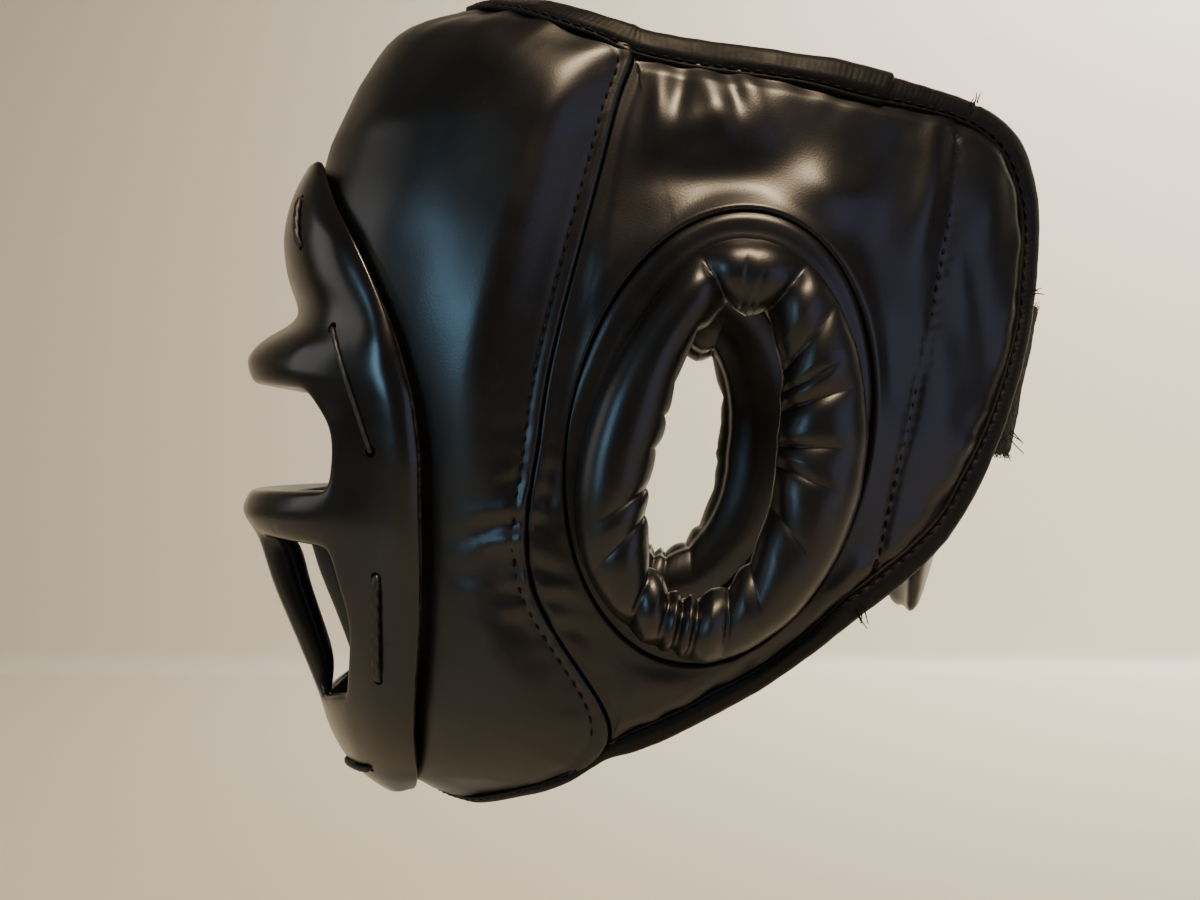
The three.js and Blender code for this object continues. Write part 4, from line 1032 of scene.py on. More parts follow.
def wall_between(outer, inner, keep):
    """Closed wall between two grids, with side faces where a kept cell has no neighbour; and points used."""
    rows, columns = outer.shape[:2]
    index = np.arange(rows * columns).reshape(rows, columns)
    shift = rows * columns
    corners = np.stack([index[:-1, :-1], index[1:, :-1], index[1:, 1:], index[:-1, 1:]], -1)
    faces = [corners[keep], corners[keep][:, ::-1] + shift]
    padded = np.pad(keep, 1)
    beside = ((1, 0, 0, -1), (2, 1, 1, 0), (3, 2, 0, 1), (0, 3, -1, 0))
    for a, b, di, dj in beside:
        bare = keep & ~padded[1 + di:rows + di, 1 + dj:columns + dj]
        edge = corners[bare]
        faces.append(np.stack([edge[:, a], edge[:, b], edge[:, b] + shift, edge[:, a] + shift], -1))
    faces = np.vstack(faces)
    used, faces = np.unique(faces, return_inverse=True)
    points = np.vstack([outer.reshape(-1, 3), inner.reshape(-1, 3)])[used]
    faces = faces.reshape(-1, 4)
    return points, outward(points, faces), used


def cage_control(plate, bar_depth):
    """Control grid of the cage: ribs by shares, with the openings left out and the bars made deeper.

    The crown's and the chin's corners are rounded by bell curves and smooth steps. The rim's edge is marked
    for pale scuffs and a painted highlight, faded out near the crown.
    """
    place = CAGE_PLACES[:, None]
    end = row_at(CAGE_RIBS, CAGE_PLACES)[:, 4:5]
    low, high = BAR_SHARES
    inner = [value + 0 * end for value in (*CAGE_MIDDLE_SHARES, low, (low + high) / 2, high)]
    inner += [mix(high, end, part) for part in CAGE_OPEN_SHARES]
    past = [mix(end, 1.0, part) for part in CAGE_RIM_SHARES]
    share = np.hstack(inner + past)
    end_column = len(inner) - 1
    inside = ease((end - share) / 0.12 + 0.5)
    depth = plate + 0 * share
    for at, full, fall, deep in CROSS_BARS:
        depth = depth + (deep - plate) * inside * hump(np.maximum(np.abs(place - at) - full, 0) / fall)
    on_bar = (np.abs(share - (low + high) / 2) < 0.05) & (place > MOUTH[0]) & (place < MOUTH[1])
    down = unit((place - MOUTH[0]) / (MOUTH[1] - MOUTH[0]))
    depth = np.where(on_bar, mix(bar_depth, BAR_FOOT * bar_depth, down), depth)
    point, out = cage_point(share, place), cage_normal(share, place)
    chin_corner = ease((share - 0.7) / 0.3) * ease((place - 16.6) / 1.4)
    crown_corner = ease(1 - place) * (4.0 * hump((share - 0.88) / 0.25) - 0.8 * ease((share - 0.93) / 0.07))
    point[..., 2] += 1.5 * chin_corner + crown_corner
    point += out * cage_swell(share, place)[..., None]
    point[..., 1] += 3.0 * ease((share - 0.6) / 0.4) * hump((place - 17.2) / 0.8)
    point[:, 0, 0] = 0
    back = point - out * depth[..., None]
    back[:, 0, 0] = 0
    halves = [np.concatenate([mirrored(g, -1)[:, :0:-1], g], 1) for g in (point, back)]
    cell = np.arange(share.shape[1] - 1)
    open_cell = cell < end_column
    bar_cell = (cell == len(CAGE_MIDDLE_SHARES)) | (cell == len(CAGE_MIDDLE_SHARES) + 1)
    row = CAGE_PLACES[:-1, None]
    in_slot = (row >= EYE_SLOT[0]) & (row < EYE_SLOT[1])
    in_mouth = (row >= MOUTH[0]) & (row < MOUTH[1])
    keep = ~(open_cell & (in_slot | (in_mouth & ~bar_cell)))
    # Rim edge mark: real scuffs plus a painted highlight of the lit rim edge, faded out near the crown.
    worn = np.where(share > 0.99, 1.0, 0.0) * ease((place - 0.5) / 2)
    worn = np.hstack([worn[:, :0:-1], worn])
    points, faces, used = wall_between(*halves, np.hstack([keep[:, ::-1], keep]))
    return points, faces, np.tile(worn.ravel(), 2)[used]


def cage_spot(target, share, place, steps=12):
    """Share and place of the cage's face at points of the side view, by Newton steps from a first guess."""
    for _ in range(steps):
        here = cage_point(share, place)[:, 1:]
        by_share = (cage_point(share + 0.005, place)[:, 1:] - here) / 0.005
        by_place = (cage_point(share, place + 0.02)[:, 1:] - here) / 0.02
        gap = target - here
        area = by_share[:, 0] * by_place[:, 1] - by_share[:, 1] * by_place[:, 0]
        share = share + (gap[:, 0] * by_place[:, 1] - gap[:, 1] * by_place[:, 0]) / area
        place = place + (by_share[:, 0] * gap[:, 1] - by_share[:, 1] * gap[:, 0]) / area
    return share, place


def lace_line(lace):
    """Middle of a lace stitch, up through one hole and down the other over the cage; and its way up."""
    share0, rib0, share1, rib1, radius, straight = LACES[lace]
    s = LACE_STOPS
    share, rib = mix(share0, share1, s), mix(rib0, rib1, s)
    if straight:
        ends = cage_point(share[[0, -1]], rib[[0, -1]])[:, 1:]
        share, rib = cage_spot(mix(ends[:1], ends[1:], s[:, None]), share, rib)
    point, out = cage_point(share, rib), cage_normal(share, rib)
    middle = point + out * (LACE_LIFTS * radius + cage_swell(share, rib))[:, None]
    tails = point - out * LACE_TAIL
    stops = np.vstack([tails[:1], middle, tails[-1:]])
    outs = np.vstack([out[:1], out, out[-1:]])
    fine_place = np.linspace(0, len(stops) - 1, 400)
    fine, over = row_at(stops, fine_place), row_at(outs, fine_place)
    distance = np.linspace(0, along(fine)[-1], LACE_PLACES)
    return at_distance(fine, distance), normal_of(at_distance(fine, distance, over))


def lace_rings(run, radius):
    """Radius of a twisted cord of three plies, by run and turn, with a knot as a bell curve at both ends."""
    turn = np.arange(LACE_AROUND) * 2 * np.pi / LACE_AROUND
    plies = np.abs(np.cos(1.5 * turn + np.pi * run / LACE_TWIST)) ** 0.6
    knots = hump((run - KNOT_PLACE) / KNOT_SPREAD) + hump((run[-1] - KNOT_PLACE - run) / KNOT_SPREAD)
    return radius * (0.78 + 0.22 * plies) + KNOT_SIZE * knots


def strap_line(z):
    """Middle of the strap in plan at one height: inside the left panel, across the gap, over the right."""
    lean = STRAP_LEAN * (z - STRAP_MID_Z)
    left, right = (np.stack([y + lean, np.full(len(y), z)], -1) for y in (STRAP_ON_LEFT, STRAP_ON_RIGHT))
    left = on_panel(left, -PANEL_THICKNESS - STRAP_BESIDE)
    right = on_panel(right, STRAP_BESIDE + STRAP_LAP_LIFT)
    stops = np.vstack([left[:, :2], STRAP_BEHIND + (0, lean), right[:, :2] * (-1, 1)])
    fine = row_at(stops, np.linspace(0, len(stops) - 1, 600))
    return at_distance(fine, np.linspace(0, along(fine)[-1], STRAP_ROWS))


def strap_grid(width, thickness):
    """Strap as a band: plan lines at many heights, thickened both ways, with worn edges and uneven pile.

    The plan lines are a parabola through those at the lower edge, the middle and the upper edge.
    """
    level = np.linspace(-0.5, 0.5, STRAP_COLUMNS)
    lines = [strap_line(STRAP_MID_Z + s * width) for s in (-0.5, 0, 0.5)]
    weights = [2 * (level - 0.5) * level, 1 - 4 * level ** 2, 2 * (level + 0.5) * level]
    plan = sum(line[:, None] * weight[None, :, None] for line, weight in zip(lines, weights))
    ahead = np.gradient(plan, axis=0)
    away = normal_of(np.stack([ahead[..., 1], -ahead[..., 0], 0 * ahead[..., 0]], -1))
    z = STRAP_MID_Z + level * width + 0 * plan[..., 0]
    middle = np.concatenate([plan, z[..., None]], -1)
    edge = np.abs(level) > 0.47
    middle[..., 2] += np.sign(level) * edge * ripple(middle, "strap_edge")
    half = thickness / 2 * (1 - 0.45 * round_over((0.5 - np.abs(level)) * width / 1.2))
    pile = ripple(middle, "strap_fine") + ripple(middle, "strap_broad")
    outer = middle + away * (half + pile)[..., None]
    inner = middle - away * (half - pile)[..., None]
    return np.concatenate([outer, inner[:, ::-1]], 1), middle, away


def strap_fray(name, middle, away, thickness, length):
    """Loose fibres on the strap's two edges: thin bent tubes from seeded places, spread by seeded draws."""
    draw = np.random.default_rng(71)
    rows, columns = middle.shape[:2]
    count = FRAY_COUNT
    i = draw.integers(0, rows, count)
    j = np.where(draw.random(count) < 0.5, 0, columns - 1)
    side = away[i, j]
    start = middle[i, j] + side * draw.uniform(-1, 1, (count, 1)) * 0.4 * thickness
    upright = np.where(j == 0, -1.0, 1.0)
    run = np.stack([draw.normal(0, 0.5, count), draw.normal(0.1, 0.5, count), upright], -1)
    run = normal_of(run + 0.5 * side * draw.normal(size=(count, 1)))
    end = start + run * length * draw.uniform(0.3, 1.0, (count, 1))
    s = np.linspace(0, 1, 4)[None, :, None]
    bend = draw.normal(scale=0.4, size=(count, 1, 3)) * np.sin(np.pi * s)
    line = mix(start[:, None], end[:, None], s) + bend
    over = np.broadcast_to(normal_of(np.array([0.3, 0.2, 1.0])), line.shape) + 0.3 * side[:, None]
    return tubes(name, line, over, FRAY_RADIUS * (1 - 0.4 * s), around=4)


def neck_pad_grid():
    """Padded tongue: level ovals between an outer and an inner face, closed to a line at foot and top."""
    place = np.linspace(0, len(NECK_PAD) - 1, NECK_ROWS)
    z, y, half, thick = (row_at(NECK_PAD, place)[:, i, None] for i in range(4))
    turn = np.linspace(0, 2 * np.pi, NECK_COLUMNS, endpoint=False)[None, :]
    x = (half - NECK_SHRINK) * signed_power(np.cos(turn), 0.7)
    face = y - NECK_CURVE * x * x - thick / 2
    close = np.sqrt(unit(np.minimum(place, place[-1] - place) / 0.5))[:, None]
    depth = (thick / 2 - NECK_SHRINK) * signed_power(np.sin(turn), 0.8) * close
    return np.stack([x * mix(0.9, 1.0, close), face + depth, z + 0 * x], -1)


def cut_lace_holes(context, made, radius):
    """Cuts round holes through the cage, along its normal, at both ends of each lace."""
    ends = np.array([row[i:i + 2] for row in LACES.values() for i in (0, 2)])
    spot, out = cage_point(*ends.T), cage_normal(*ends.T)
    lines = spot[:, None] + out[:, None] * LACE_HOLE_STOPS[None, :, None]
    lines = np.concatenate([mirrored(lines, sign) for _, sign in SIDES])
    over = np.broadcast_to(normal_of(np.array([0.1, 0.2, 1.0])), lines.shape)
    cutter = tubes("lace_holes", lines, over, radius, around=16)
    cut = made.modifiers.new("holes", "BOOLEAN")
    cut.operation = "DIFFERENCE"
    cut.solver = "EXACT"
    cut.object = cutter
    context.view_layer.update()
    whole = bpy.data.meshes.new_from_object(made.evaluated_get(context.evaluated_depsgraph_get()))
    made.modifiers.clear()
    made.data = whole
    whole.name = made.name
    whole.set_sharp_from_angle(angle=CAGE_SHARP_ANGLE)
    bpy.data.objects.remove(cutter)


def inflate(context, made, voxel, pressure, frames, reach):
    """Blows a skin up as cloth under an even pressure, keeps each point within reach, and smooths it once."""
    context.view_layer.objects.active = made
    made.data.remesh_voxel_size = voxel
    with context.temp_override(object=made, active_object=made):
        bpy.ops.object.voxel_remesh()
    count = len(made.data.vertices)
    before = np.zeros(count * 3, np.float32)
    made.data.vertices.foreach_get("co", before)
    cloth = made.modifiers.new("cloth", "CLOTH")
    cloth.settings.use_pressure = True
    cloth.settings.uniform_pressure_force = pressure
    cloth.settings.effector_weights.gravity = 0.0
    cloth.point_cache.frame_start, cloth.point_cache.frame_end = 1, frames
    for frame_number in range(1, frames + 1):
        context.scene.frame_set(frame_number)
    moved = made.evaluated_get(context.evaluated_depsgraph_get()).to_mesh()
    after = np.zeros(count * 3, np.float32)
    moved.vertices.foreach_get("co", after)
    context.scene.frame_set(1)
    made.modifiers.clear()
    step = (after - before).reshape(-1, 3)
    far = np.linalg.norm(step, axis=1, keepdims=True)
    step = step * np.minimum(1.0, reach / np.maximum(far, 1e-9))
    made.data.vertices.foreach_set("co", (before.reshape(-1, 3) + step).ravel())
    made.data.polygons.foreach_set("use_smooth", np.ones(len(made.data.polygons), bool))
    made.data.update()
    smooth = made.modifiers.new("smooth", "SUBSURF")
    smooth.levels = smooth.render_levels = 1


# Finishes.


def linear(code):
    """Linear colour of an sRGB hex code: ((c + 0.055) / 1.055)^2.4 for each channel, or c / 12.92 if dark."""
    c = np.array([int(code[i:i + 2], 16) for i in (1, 3, 5)]) / 255
    return (*np.where(c > 0.04045, ((c + 0.055) / 1.055) ** 2.4, c / 12.92).tolist(), 1.0)


def per_metre(size_mm):
    """Pattern scale for a feature of that size in millimetres."""
    return 1000.0 / size_mm


def add(tree, kind, inputs=None, **settings):
    """Adds a shader node with its settings, and sets or links its inputs by name or number."""
    made = tree.nodes.new("ShaderNode" + kind)
    for key, value in settings.items():
        setattr(made, key, value)
    for key, value in (inputs or {}).items():
        if isinstance(value, bpy.types.NodeSocket):
            tree.links.new(value, made.inputs[key])
        else:
            made.inputs[key].default_value = value
    return made


def noise(tree, place, size_mm, detail, **more):
    """Noise of one size in millimetres, as a value from 0 to 1."""
    inputs = {"Vector": place, "Scale": per_metre(size_mm), "Detail": detail, **more}
    return add(tree, "TexNoise", inputs).outputs["Fac"]


def spread(tree, value, low, high, to_low=0.0, to_high=1.0):
    """Value carried from one range to another and held within it."""
    inputs = {"Value": value, "From Min": low, "From Max": high, "To Min": to_low, "To Max": to_high}
    return add(tree, "MapRange", inputs).outputs["Result"]


def blend(tree, share, first, second):
    """Colour between two hex codes."""
    return add(tree, "Mix", {0: share, 6: linear(first), 7: linear(second)}, data_type="RGBA").outputs[2]


def bump(tree, height, strength, depth_mm, under=None):
    """Relief of a depth in millimetres, on top of another one if it is given."""
    inputs = {"Height": height, "Strength": strength, "Distance": depth_mm * MM}
    if under is not None:
        inputs["Normal"] = under
    return add(tree, "Bump", inputs).outputs["Normal"]


def principled(tree, colour, rough, relief=None, **more):
    """Shader with a colour, a roughness, a relief and its other inputs, whose names have _ for each space."""
    inputs = {key.replace("_", " "): value for key, value in more.items()}
    inputs |= {"Base Color": colour, "Roughness": rough}
    if relief is not None:
        inputs["Normal"] = relief
    return add(tree, "BsdfPrincipled", inputs)


def finish(name):
    """Makes a finish of that name from a function of its node tree and the colours, or finds the one made."""
    def with_name(build):
        """Wraps a function that builds a finish."""
        def find_or_make(colours):
            """Material of that name, made at its first use."""
            if name in bpy.data.materials:
                return bpy.data.materials[name]
            material = bpy.data.materials.new(name)
            material.use_nodes = True
            tree = material.node_tree
            tree.nodes.clear()
            add(tree, "OutputMaterial", {"Surface": build(tree, colours).outputs["BSDF"]})
            return material
        return find_or_make
    return with_name


@finish("embossed_pvc_vinyl_black")
def coated_vinyl(tree, colours):
    """PVC-coated cloth, calendered and embossed: satin black with a fine pebble grain."""
    place = add(tree, "TexCoord").outputs["Object"]
    pebble = add(tree, "TexVoronoi", {"Vector": place, "Scale": per_metre(0.6), "Randomness": 1.0})
    fine = noise(tree, place, 0.3, 2.0)
    handled = noise(tree, place, 28, 3.0, Roughness=0.55)
    tone = blend(tree, spread(tree, handled, 0.35, 0.65), colours.vinyl_dark, colours.vinyl_light)
    gloss = spread(tree, handled, 0.3, 0.7, 0.29, 0.38)
    relief = bump(tree, fine, 0.14, 0.05, bump(tree, pebble.outputs["Distance"], 0.24, 0.06))
    return principled(tree, tone, gloss, relief, IOR=1.52, Specular_IOR_Level=0.42, Coat_Weight=0.08,
                      Coat_Roughness=0.3)


@finish("woven_nylon_tape_black")
def folded_tape(tree, colours):
    """Woven nylon tape: ribs across its length at 0.9 mm, dull black with paler worn threads."""
    lengths = add(tree, "UVMap", uv_map="lengths").outputs["UV"]
    place = add(tree, "TexCoord").outputs["Object"]
    ribs = add(tree, "TexWave", {
        "Vector": lengths, "Scale": per_metre(0.9) / (2 * np.pi), "Distortion": 1.2,
        "Detail": 2.0, "Detail Scale": 1.5,
    }, bands_direction="X")
    fibre = noise(tree, place, 0.7, 3.0)
    faded = noise(tree, place, 9, 4.0, Roughness=0.6)
    tone = blend(tree, spread(tree, faded, 0.42, 0.75), colours.tape_dark, colours.tape_light)
    gloss = spread(tree, faded, 0.3, 0.7, 0.42, 0.62)
    relief = bump(tree, fibre, 0.35, 0.2, bump(tree, ribs.outputs["Fac"], 0.18, 0.2))
    return principled(tree, tone, gloss, relief, IOR=1.5, Specular_IOR_Level=0.16, Sheen_Weight=0.02,
                      Sheen_Roughness=0.4)


@finish("moulded_polyethylene_black")
def moulded_plastic(tree, colours):
    """Injection-moulded polyethylene: semi-gloss black, a faint orange peel, and pale scuffs with a painted
    highlight along its rim edge.
    """
    place = add(tree, "TexCoord").outputs["Object"]
    peel = noise(tree, place, 6, 1.0)
    smear = noise(tree, place, 22, 4.0, Roughness=0.6)
    edge = add(tree, "Attribute", attribute_name="rim").outputs["Fac"]
    scuff_and_highlight_spots = noise(tree, place, 2.5, 4.0, Roughness=0.7)
    # Paler rim edge: partly real scuffs, partly a painted highlight of the lit rim edge.
    where = add(tree, "Math", {0: edge, 1: scuff_and_highlight_spots}, operation="MULTIPLY").outputs[0]
    tone = blend(tree, spread(tree, where, 0.36, 0.62, 0.0, 0.6), colours.plastic, colours.scuff_and_rim_highlight)
    gloss = spread(tree, smear, 0.3, 0.7, 0.17, 0.28)
    return principled(tree, tone, gloss, bump(tree, peel, 0.1, 0.6), IOR=1.51)


@finish("waxed_cord_black")
def waxed_cord(tree, colours):
    """Twisted, waxed cord: brown-black plies with a soft shine and paler rubbed fibres."""
    fibre = noise(tree, add(tree, "TexCoord").outputs["Object"], 0.5, 3.0)
    tone = blend(tree, fibre, colours.cord_dark, colours.cord_light)
    return principled(tree, tone, 0.45, bump(tree, fibre, 0.4, 0.1), IOR=1.5)


@finish("polyester_thread_black")
def sewing_thread(tree, colours):
    """Bonded polyester thread: dull black, as dark as the vinyl."""
    fibre = noise(tree, add(tree, "TexCoord").outputs["Object"], 0.4, 2.0)
    tone = blend(tree, fibre, colours.thread_dark, colours.thread_light)
    return principled(tree, tone, 0.6, Specular_IOR_Level=0.15)


@finish("hook_and_loop_pile_black")
def loop_pile(tree, colours):
    """Hook-and-loop tape: dense nylon loops, dull black, mottled at 1 mm with a fuzzy sheen."""
    place = add(tree, "TexCoord").outputs["Object"]
    loops = add(tree, "TexVoronoi", {"Vector": place, "Scale": per_metre(1.0), "Randomness": 1.0})
    fuzz = noise(tree, place, 0.5, 4.0, Roughness=0.7)
    tone = blend(tree, fuzz, colours.strap_dark, colours.strap_light)
    relief = bump(tree, fuzz, 0.6, 0.4, bump(tree, loops.outputs["Distance"], 0.7, 0.6))
    return principled(tree, tone, 0.9, relief, Specular_IOR_Level=0.25, Sheen_Weight=0.02,
                      Sheen_Roughness=0.5)


@finish("painted_board_pale")
def painted_board(tree, colours):
    """Matt paint on board: pale, with a faint roller texture at 3 mm."""
    roller = noise(tree, add(tree, "TexCoord").outputs["Object"], 3, 2.0)
    return principled(tree, linear(colours.floor), 0.55, bump(tree, roller, 0.05, 0.5))


# Settings.


def hex_property(label, code, about):
    """Setting that holds a colour as a hex code."""
    return bpy.props.StringProperty(name=label, description=about, default=code, maxlen=7)


def length_property(label, size_mm, about):
    """Setting that holds a size, given in millimetres and kept in metres."""
    return bpy.props.FloatProperty(name=label, description=about, default=size_mm * MM, min=0.0, precision=5,
                                   subtype="DISTANCE", unit="LENGTH")


def place_property(label, metres, about):
    """Setting that holds a place along one axis."""
    return bpy.props.FloatProperty(name=label, description=about, default=metres, subtype="DISTANCE",
                                   unit="LENGTH")


def power_property(label, watts, about):
    """Setting that holds the power of a light."""
    return bpy.props.FloatProperty(name=label, description=about, default=watts, min=0.0, unit="POWER")


class HeadGuardSizes(bpy.types.PropertyGroup):
    """Sizes that a user would change."""

    stitch_pitch: length_property("Stitch pitch", 3.8, "Distance from one stitch to the next along a seam")
    thread_radius: length_property("Thread radius", 0.34, "Half of the sewing thread's thickness")
    tape_width: length_property("Tape width", 5.2, "Width of the folded tape on each face")
    tape_wall: length_property("Tape wall", 1.15, "Thickness of the folded tape")
    cage_plate: length_property("Cage plate", 3.2, "Thickness of the cage's plate")
    bar_depth: length_property("Bar depth", 12.5, "Depth of the cage's upright bars at their top")
    hole_radius: length_property("Lace hole radius", 1.7, "Half of the width of a lace hole")
    strap_width: length_property("Strap width", 45.0, "Width of the closure strap")
    strap_thickness: length_property("Strap thickness", 2.4, "Thickness of the closure strap")
    fray_length: length_property("Fray length", 2.6, "Length of the loose fibres on the strap's edges")
    pleat_scale: bpy.props.FloatProperty(
        name="Pleat depth", description="Depth of the ear rolls' gathers, as a share", default=1.0, min=0.0,
        max=1.5, subtype="FACTOR")


class HeadGuardColours(bpy.types.PropertyGroup):
    """Colours as sRGB hex codes."""

    vinyl_dark: hex_property("Vinyl", "#08080a", "Vinyl in its less worn places")
    vinyl_light: hex_property("Handled vinyl", "#0f0f11", "Vinyl in its more worn places")
    tape_dark: hex_property("Tape", "#0b0b0c", "Tape in its less worn places")
    tape_light: hex_property("Faded tape", "#131211", "Tape in its faded places")
    plastic: hex_property("Cage", "#0d0d0d", "Cage plastic")
    # Colour of the rim's scuffs, also used as a painted highlight along the lit rim edge.
    scuff_and_rim_highlight: hex_property("Scuffs", "#4a4640", "Scuffed edges of the cage")
    cord_dark: hex_property("Cord", "#100e0c", "Lace cord between its fibres")
    cord_light: hex_property("Cord fibres", "#1a1715", "Lace cord on its fibres")
    thread_dark: hex_property("Thread", "#070708", "Thread in its dark places")
    thread_light: hex_property("Thread shine", "#101012", "Thread on its fibres")
    strap_dark: hex_property("Strap", "#040405", "Strap between its loops")
    strap_light: hex_property("Strap loops", "#0b0b0c", "Strap on its loops")
    floor: hex_property("Floor", "#e4dcc8", "Floor and wall")
    room: hex_property("Room", "#e9e2d8", "Even light all round")


class HeadGuardStage(bpy.types.PropertyGroup):
    """Camera, floor and light."""

    floor_height: place_property("Floor height", -0.30, "Height of the floor under the guard")
    wall_place: place_property("Wall place", -1.30, "Place of the wall behind the guard")
    camera_place: bpy.props.FloatVectorProperty(
        name="Camera place", description="Place of the camera", default=(0.441, -0.0325, -0.0027),
        subtype="XYZ", unit="LENGTH")
    lens: bpy.props.FloatProperty(
        name="Lens", description="Focal length on a 36 mm wide sensor, in millimetres", default=39.0, min=1.0)
    window_power: power_property("Window power", 3.4, "Cool light on the wearer's front left")
    lamp_power: power_property("Lamp power", 19.0, "Warm light above the left side")
    fill_power: power_property("Fill power", 4.5, "Wide soft light from behind on the left")
    front_power: power_property("Front power", 2.6, "Broad soft light before the face")
    wash_power: power_property("Wash power", 48.0, "Light on the wall and the floor")
    room_power: bpy.props.FloatProperty(
        name="Room light", description="Strength of the even light all round", default=0.12, min=0.0)


class GuardOperator:
    """What the operators share."""

    bl_options = {"REGISTER"}

    @staticmethod
    def sizes(context):
        """Sizes in millimetres by name."""
        group = context.scene.head_guard_sizes
        names = [n for n in HeadGuardSizes.__annotations__ if n != "pleat_scale"]
        return {n: getattr(group, n) / MM for n in names}


class HEADGUARD_OT_front_pad(GuardOperator, bpy.types.Operator):
    """Makes the vinyl-covered pad round the face"""

    bl_idname = "head_guard.front_pad"
    bl_label = "Front pad"

    def execute(self, context):
        vinyl = coated_vinyl(context.scene.head_guard_colours)
        made = surface("front_pad_skin", front_pad_grid(PAD_PLACES, self.sizes(context)["stitch_pitch"]))
        claim(made, vinyl, ["front_pad"])
        return {"FINISHED"}


class HEADGUARD_OT_ear_panels(GuardOperator, bpy.types.Operator):
    """Makes the two padded ear panels"""

    bl_idname = "head_guard.ear_panels"
    bl_label = "Ear panels"

    def execute(self, context):
        vinyl = coated_vinyl(context.scene.head_guard_colours)
        pitch = self.sizes(context)["stitch_pitch"]
        for side, sign in SIDES:
            made = surface("ear_panel_skin_" + side, ear_panel_grid(sign, pitch))
            claim(made, vinyl, ["ear_panel_" + side])
        return {"FINISHED"}


class HEADGUARD_OT_ear_rolls(GuardOperator, bpy.types.Operator):
    """Makes the two gathered ear rolls"""

    bl_idname = "head_guard.ear_rolls"
    bl_label = "Ear rolls"

    def execute(self, context):
        vinyl = coated_vinyl(context.scene.head_guard_colours)
        scale = context.scene.head_guard_sizes.pleat_scale
        for side, sign in SIDES:
            made = surface("ear_roll_skin_" + side, ear_roll_grid(sign, scale))
            claim(made, vinyl, ["ear_roll_" + side])
        return {"FINISHED"}


class HEADGUARD_OT_binding(GuardOperator, bpy.types.Operator):
    """Makes the folded tape round the guard's edge, with its stitches"""

    bl_idname = "head_guard.binding"
    bl_label = "Edge binding"

    def execute(self, context):
        size = self.sizes(context)
        colours = context.scene.head_guard_colours
        grid, lengths, stitches = tape_grid(size["tape_width"], size["tape_wall"])
        nodes = ["forehead_binding", "chin_binding", "ear_panel_binding_left", "ear_panel_binding_right"]
        claim(surface("edge_tape", grid, lengths=lengths), folded_tape(colours), nodes)
        for face, (path, over) in zip(("outer", "inner"), stitches):
            made = stitch_row("edge_tape_stitches_" + face, path, over, size, 0.05)
            claim(made, sewing_thread(colours))
        return {"FINISHED"}


class HEADGUARD_OT_seams(GuardOperator, bpy.types.Operator):
    """Makes the stitches of the front seams and of the panels' flaps, and the loose thread ends"""

    bl_idname = "head_guard.seams"
    bl_label = "Seam stitches"

    def execute(self, context):
        size = self.sizes(context)
        thread = sewing_thread(context.scene.head_guard_colours)
        spoke = pad_spokes(np.linspace(*STITCH_SPAN, STITCH_PLACES))
        point, inward, depth, _ = pad_layers(spoke, np.full((STITCH_PLACES, 1), STITCH_INSET))
        front = (point + inward * (depth + STITCH_SINK)[..., None])[:, 0], -inward[:, 0]
        start, end = FLAP_STITCH_ENDS
        line = at_distance(FLAP_LINE, np.linspace(start, along(FLAP_LINE)[-1] - end, 200))
        flap = on_panel(line, -FLAP_SINK), panel_normal(*line.T)
        for side, sign in SIDES:
            path, over = (mirrored(part, sign) for part in front)
            claim(stitch_row("front_seam_stitches_" + side, path, over, size, 0.25), thread)
            path, over = (mirrored(part, sign) for part in flap)
            claim(stitch_row("flap_stitches_" + side, path, over, size, 0.1), thread)
            claim(loose_threads("loose_threads_" + side, sign), thread)
        return {"FINISHED"}


class HEADGUARD_OT_face_cage(GuardOperator, bpy.types.Operator):
    """Makes the moulded face cage with its lace holes"""

    bl_idname = "head_guard.face_cage"
    bl_label = "Face cage"

    def execute(self, context):
        size = self.sizes(context)
        points, faces, rim = cage_control(size["cage_plate"], size["bar_depth"])
        # The rim mark carries the scuffs and the painted rim highlight.
        made = make_mesh("face_cage_moulding", points, faces, marks={"rim": rim})
        smooth = made.modifiers.new("round", "SUBSURF")
        smooth.levels = smooth.render_levels = 2
        smooth.boundary_smooth = "PRESERVE_CORNERS"
        cut_lace_holes(context, made, size["hole_radius"])
        claim(made, moulded_plastic(context.scene.head_guard_colours), ["face_cage"])
        return {"FINISHED"}


class HEADGUARD_OT_laces(GuardOperator, bpy.types.Operator):
    """Makes the lace stitches that hold the cage to the pad"""

    bl_idname = "head_guard.laces"
    bl_label = "Lace stitches"

    def execute(self, context):
        cord = waxed_cord(context.scene.head_guard_colours)
        for lace, row in LACES.items():
            line, over = lace_line(lace)
            rings = lace_rings(along(line)[:, None], row[4])
            for side, sign in SIDES:
                strand, up = mirrored(line, sign)[None], mirrored(over, sign)[None]
                made = tubes(f"lace_cord_{lace}_{side}", strand, up, rings[None], LACE_AROUND)
                claim(made, cord, [f"lace_{lace}_{side}"])
        return {"FINISHED"}


class HEADGUARD_OT_strap(GuardOperator, bpy.types.Operator):
    """Makes the hook-and-loop strap across the back, with its frayed edges"""

    bl_idname = "head_guard.strap"
    bl_label = "Closure strap"

    def execute(self, context):
        size = self.sizes(context)
        pile = loop_pile(context.scene.head_guard_colours)
        grid, middle, away = strap_grid(size["strap_width"], size["strap_thickness"])
        claim(band("strap_pile", grid), pile, ["closure_strap"])
        made = strap_fray("strap_fray", middle, away, size["strap_thickness"], size["fray_length"])
        claim(made, pile)
        return {"FINISHED"}


class HEADGUARD_OT_neck_pad(GuardOperator, bpy.types.Operator):
    """Makes the padded tongue under the strap, inflated as cloth"""

    bl_idname = "head_guard.neck_pad"
    bl_label = "Neck pad"

    def execute(self, context):
        made = surface("neck_pad_skin", neck_pad_grid(), close_rows=False)
        inflate(context, made, voxel=0.0045, pressure=4.0, frames=20, reach=0.003)
        claim(made, coated_vinyl(context.scene.head_guard_colours), ["neck_pad"])
        return {"FINISHED"}


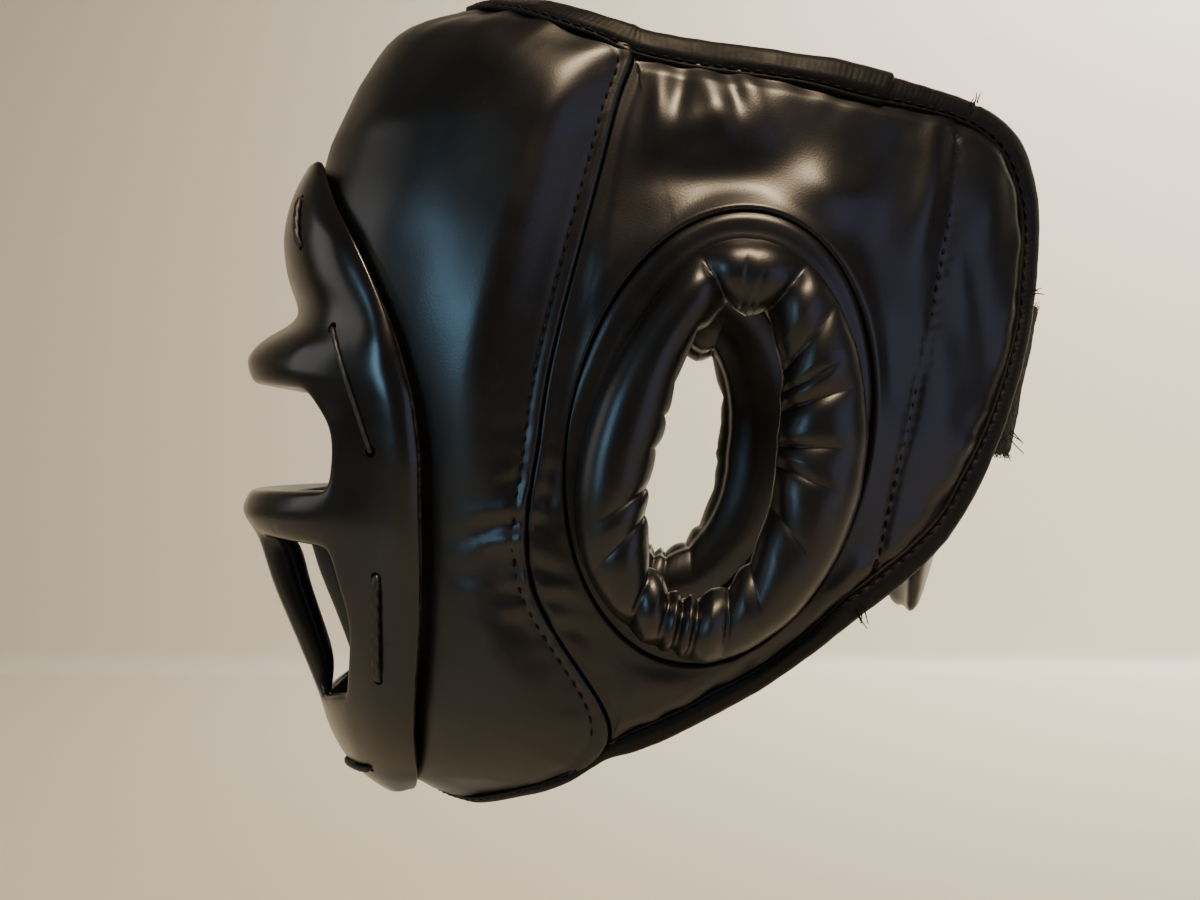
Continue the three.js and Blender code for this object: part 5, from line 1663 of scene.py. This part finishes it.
def floor_grid(low, wall):
    """Floor that bends up into a wall: a level line, a quarter round and an upright line, carried along y."""
    bend = FLOOR_BEND / MM
    turn = np.linspace(0, np.pi / 2, 9)[1:]
    curve = np.stack([wall + bend - bend * np.sin(turn), low + bend - bend * np.cos(turn)], -1)
    profile = np.vstack([(FLOOR_FRONT / MM, low), (wall + bend, low), curve, (wall, low + WALL_HEIGHT / MM)])
    x, y = np.meshgrid(profile[:, 0], np.linspace(-1, 1, 5) * FLOOR_SIDE / MM, indexing="ij")
    return np.stack([x, y, profile[:, 1:] + 0 * x], -1)


def add_light(context, name, power, place, aim, shape, colour, spread_degrees):
    """Flat light turned to what it is aimed at, which the camera does not see."""
    light = bpy.data.lights.new(name, "AREA")
    light.shape = "RECTANGLE"
    light.size, light.size_y = shape
    light.color = colour
    light.energy = power
    light.spread = np.radians(spread_degrees)
    lamp = bpy.data.objects.new(name, light)
    lamp.location = place
    lamp.visible_camera = False
    lamp.rotation_euler = (Vector(aim) - Vector(place)).to_track_quat("-Z", "Y").to_euler()
    context.scene.collection.objects.link(lamp)


class HEADGUARD_OT_stage(GuardOperator, bpy.types.Operator):
    """Makes the floor, the wall, the lights and the camera"""

    bl_idname = "head_guard.stage"
    bl_label = "Stage"

    def execute(self, context):
        stage = context.scene.head_guard_stage
        colours = context.scene.head_guard_colours
        grid = floor_grid(stage.floor_height / MM, stage.wall_place / MM)
        floor = surface("floor_and_wall", grid, close_rows=False, close_columns=False)
        floor.data.materials.append(painted_board(colours))
        for name, (setting, *rest) in LIGHTS.items():
            add_light(context, name, getattr(stage, setting), *rest)
        world = bpy.data.worlds.new("even_room_light")
        world.use_nodes = True
        back = world.node_tree.nodes["Background"]
        back.inputs["Color"].default_value = linear(colours.room)
        back.inputs["Strength"].default_value = stage.room_power
        context.scene.world = world
        camera = bpy.data.cameras.new("photo_view")
        camera.sensor_width = CAMERA_SENSOR
        camera.lens = stage.lens
        camera.clip_start = CAMERA_NEAR
        holder = bpy.data.objects.new("photo_view", camera)
        holder.matrix_world = Matrix.Translation(stage.camera_place) @ CAMERA_TURN
        context.scene.collection.objects.link(holder)
        context.scene.camera = holder
        return {"FINISHED"}


OPERATORS = (
    HEADGUARD_OT_stage, HEADGUARD_OT_front_pad, HEADGUARD_OT_ear_panels, HEADGUARD_OT_ear_rolls,
    HEADGUARD_OT_binding, HEADGUARD_OT_seams, HEADGUARD_OT_face_cage, HEADGUARD_OT_laces, HEADGUARD_OT_strap,
    HEADGUARD_OT_neck_pad,
)


class HEADGUARD_PT_sidebar(bpy.types.Panel):
    """Sizes, colours and the pieces in the order they are made"""

    bl_idname = "HEADGUARD_PT_sidebar"
    bl_label = "Padded head guard"
    bl_space_type = "VIEW_3D"
    bl_region_type = "UI"
    bl_category = "Head Guard"

    def draw(self, context):
        """Lists the operators, then every setting."""
        for made in OPERATORS:
            self.layout.operator(made.bl_idname)
        for key in SETTINGS:
            group = getattr(context.scene, key)
            for name in type(group).__annotations__:
                self.layout.prop(group, name)


SETTINGS = {
    "head_guard_sizes": HeadGuardSizes,
    "head_guard_colours": HeadGuardColours,
    "head_guard_stage": HeadGuardStage,
}
CLASSES = (*SETTINGS.values(), *OPERATORS, HEADGUARD_PT_sidebar)


def register():
    """Adds the classes to Blender, and the settings to each scene."""
    for made in CLASSES:
        bpy.utils.register_class(made)
    for key, group in SETTINGS.items():
        setattr(bpy.types.Scene, key, bpy.props.PointerProperty(type=group))


def unregister():
    """Takes the settings and the classes away again."""
    for key in SETTINGS:
        delattr(bpy.types.Scene, key)
    for made in reversed(CLASSES):
        bpy.utils.unregister_class(made)


def main():
    """Makes every piece in order."""
    register()
    for made in OPERATORS:
        group, name = made.bl_idname.split(".")
        getattr(getattr(bpy.ops, group), name)()


if __name__ == "__main__":
    main()
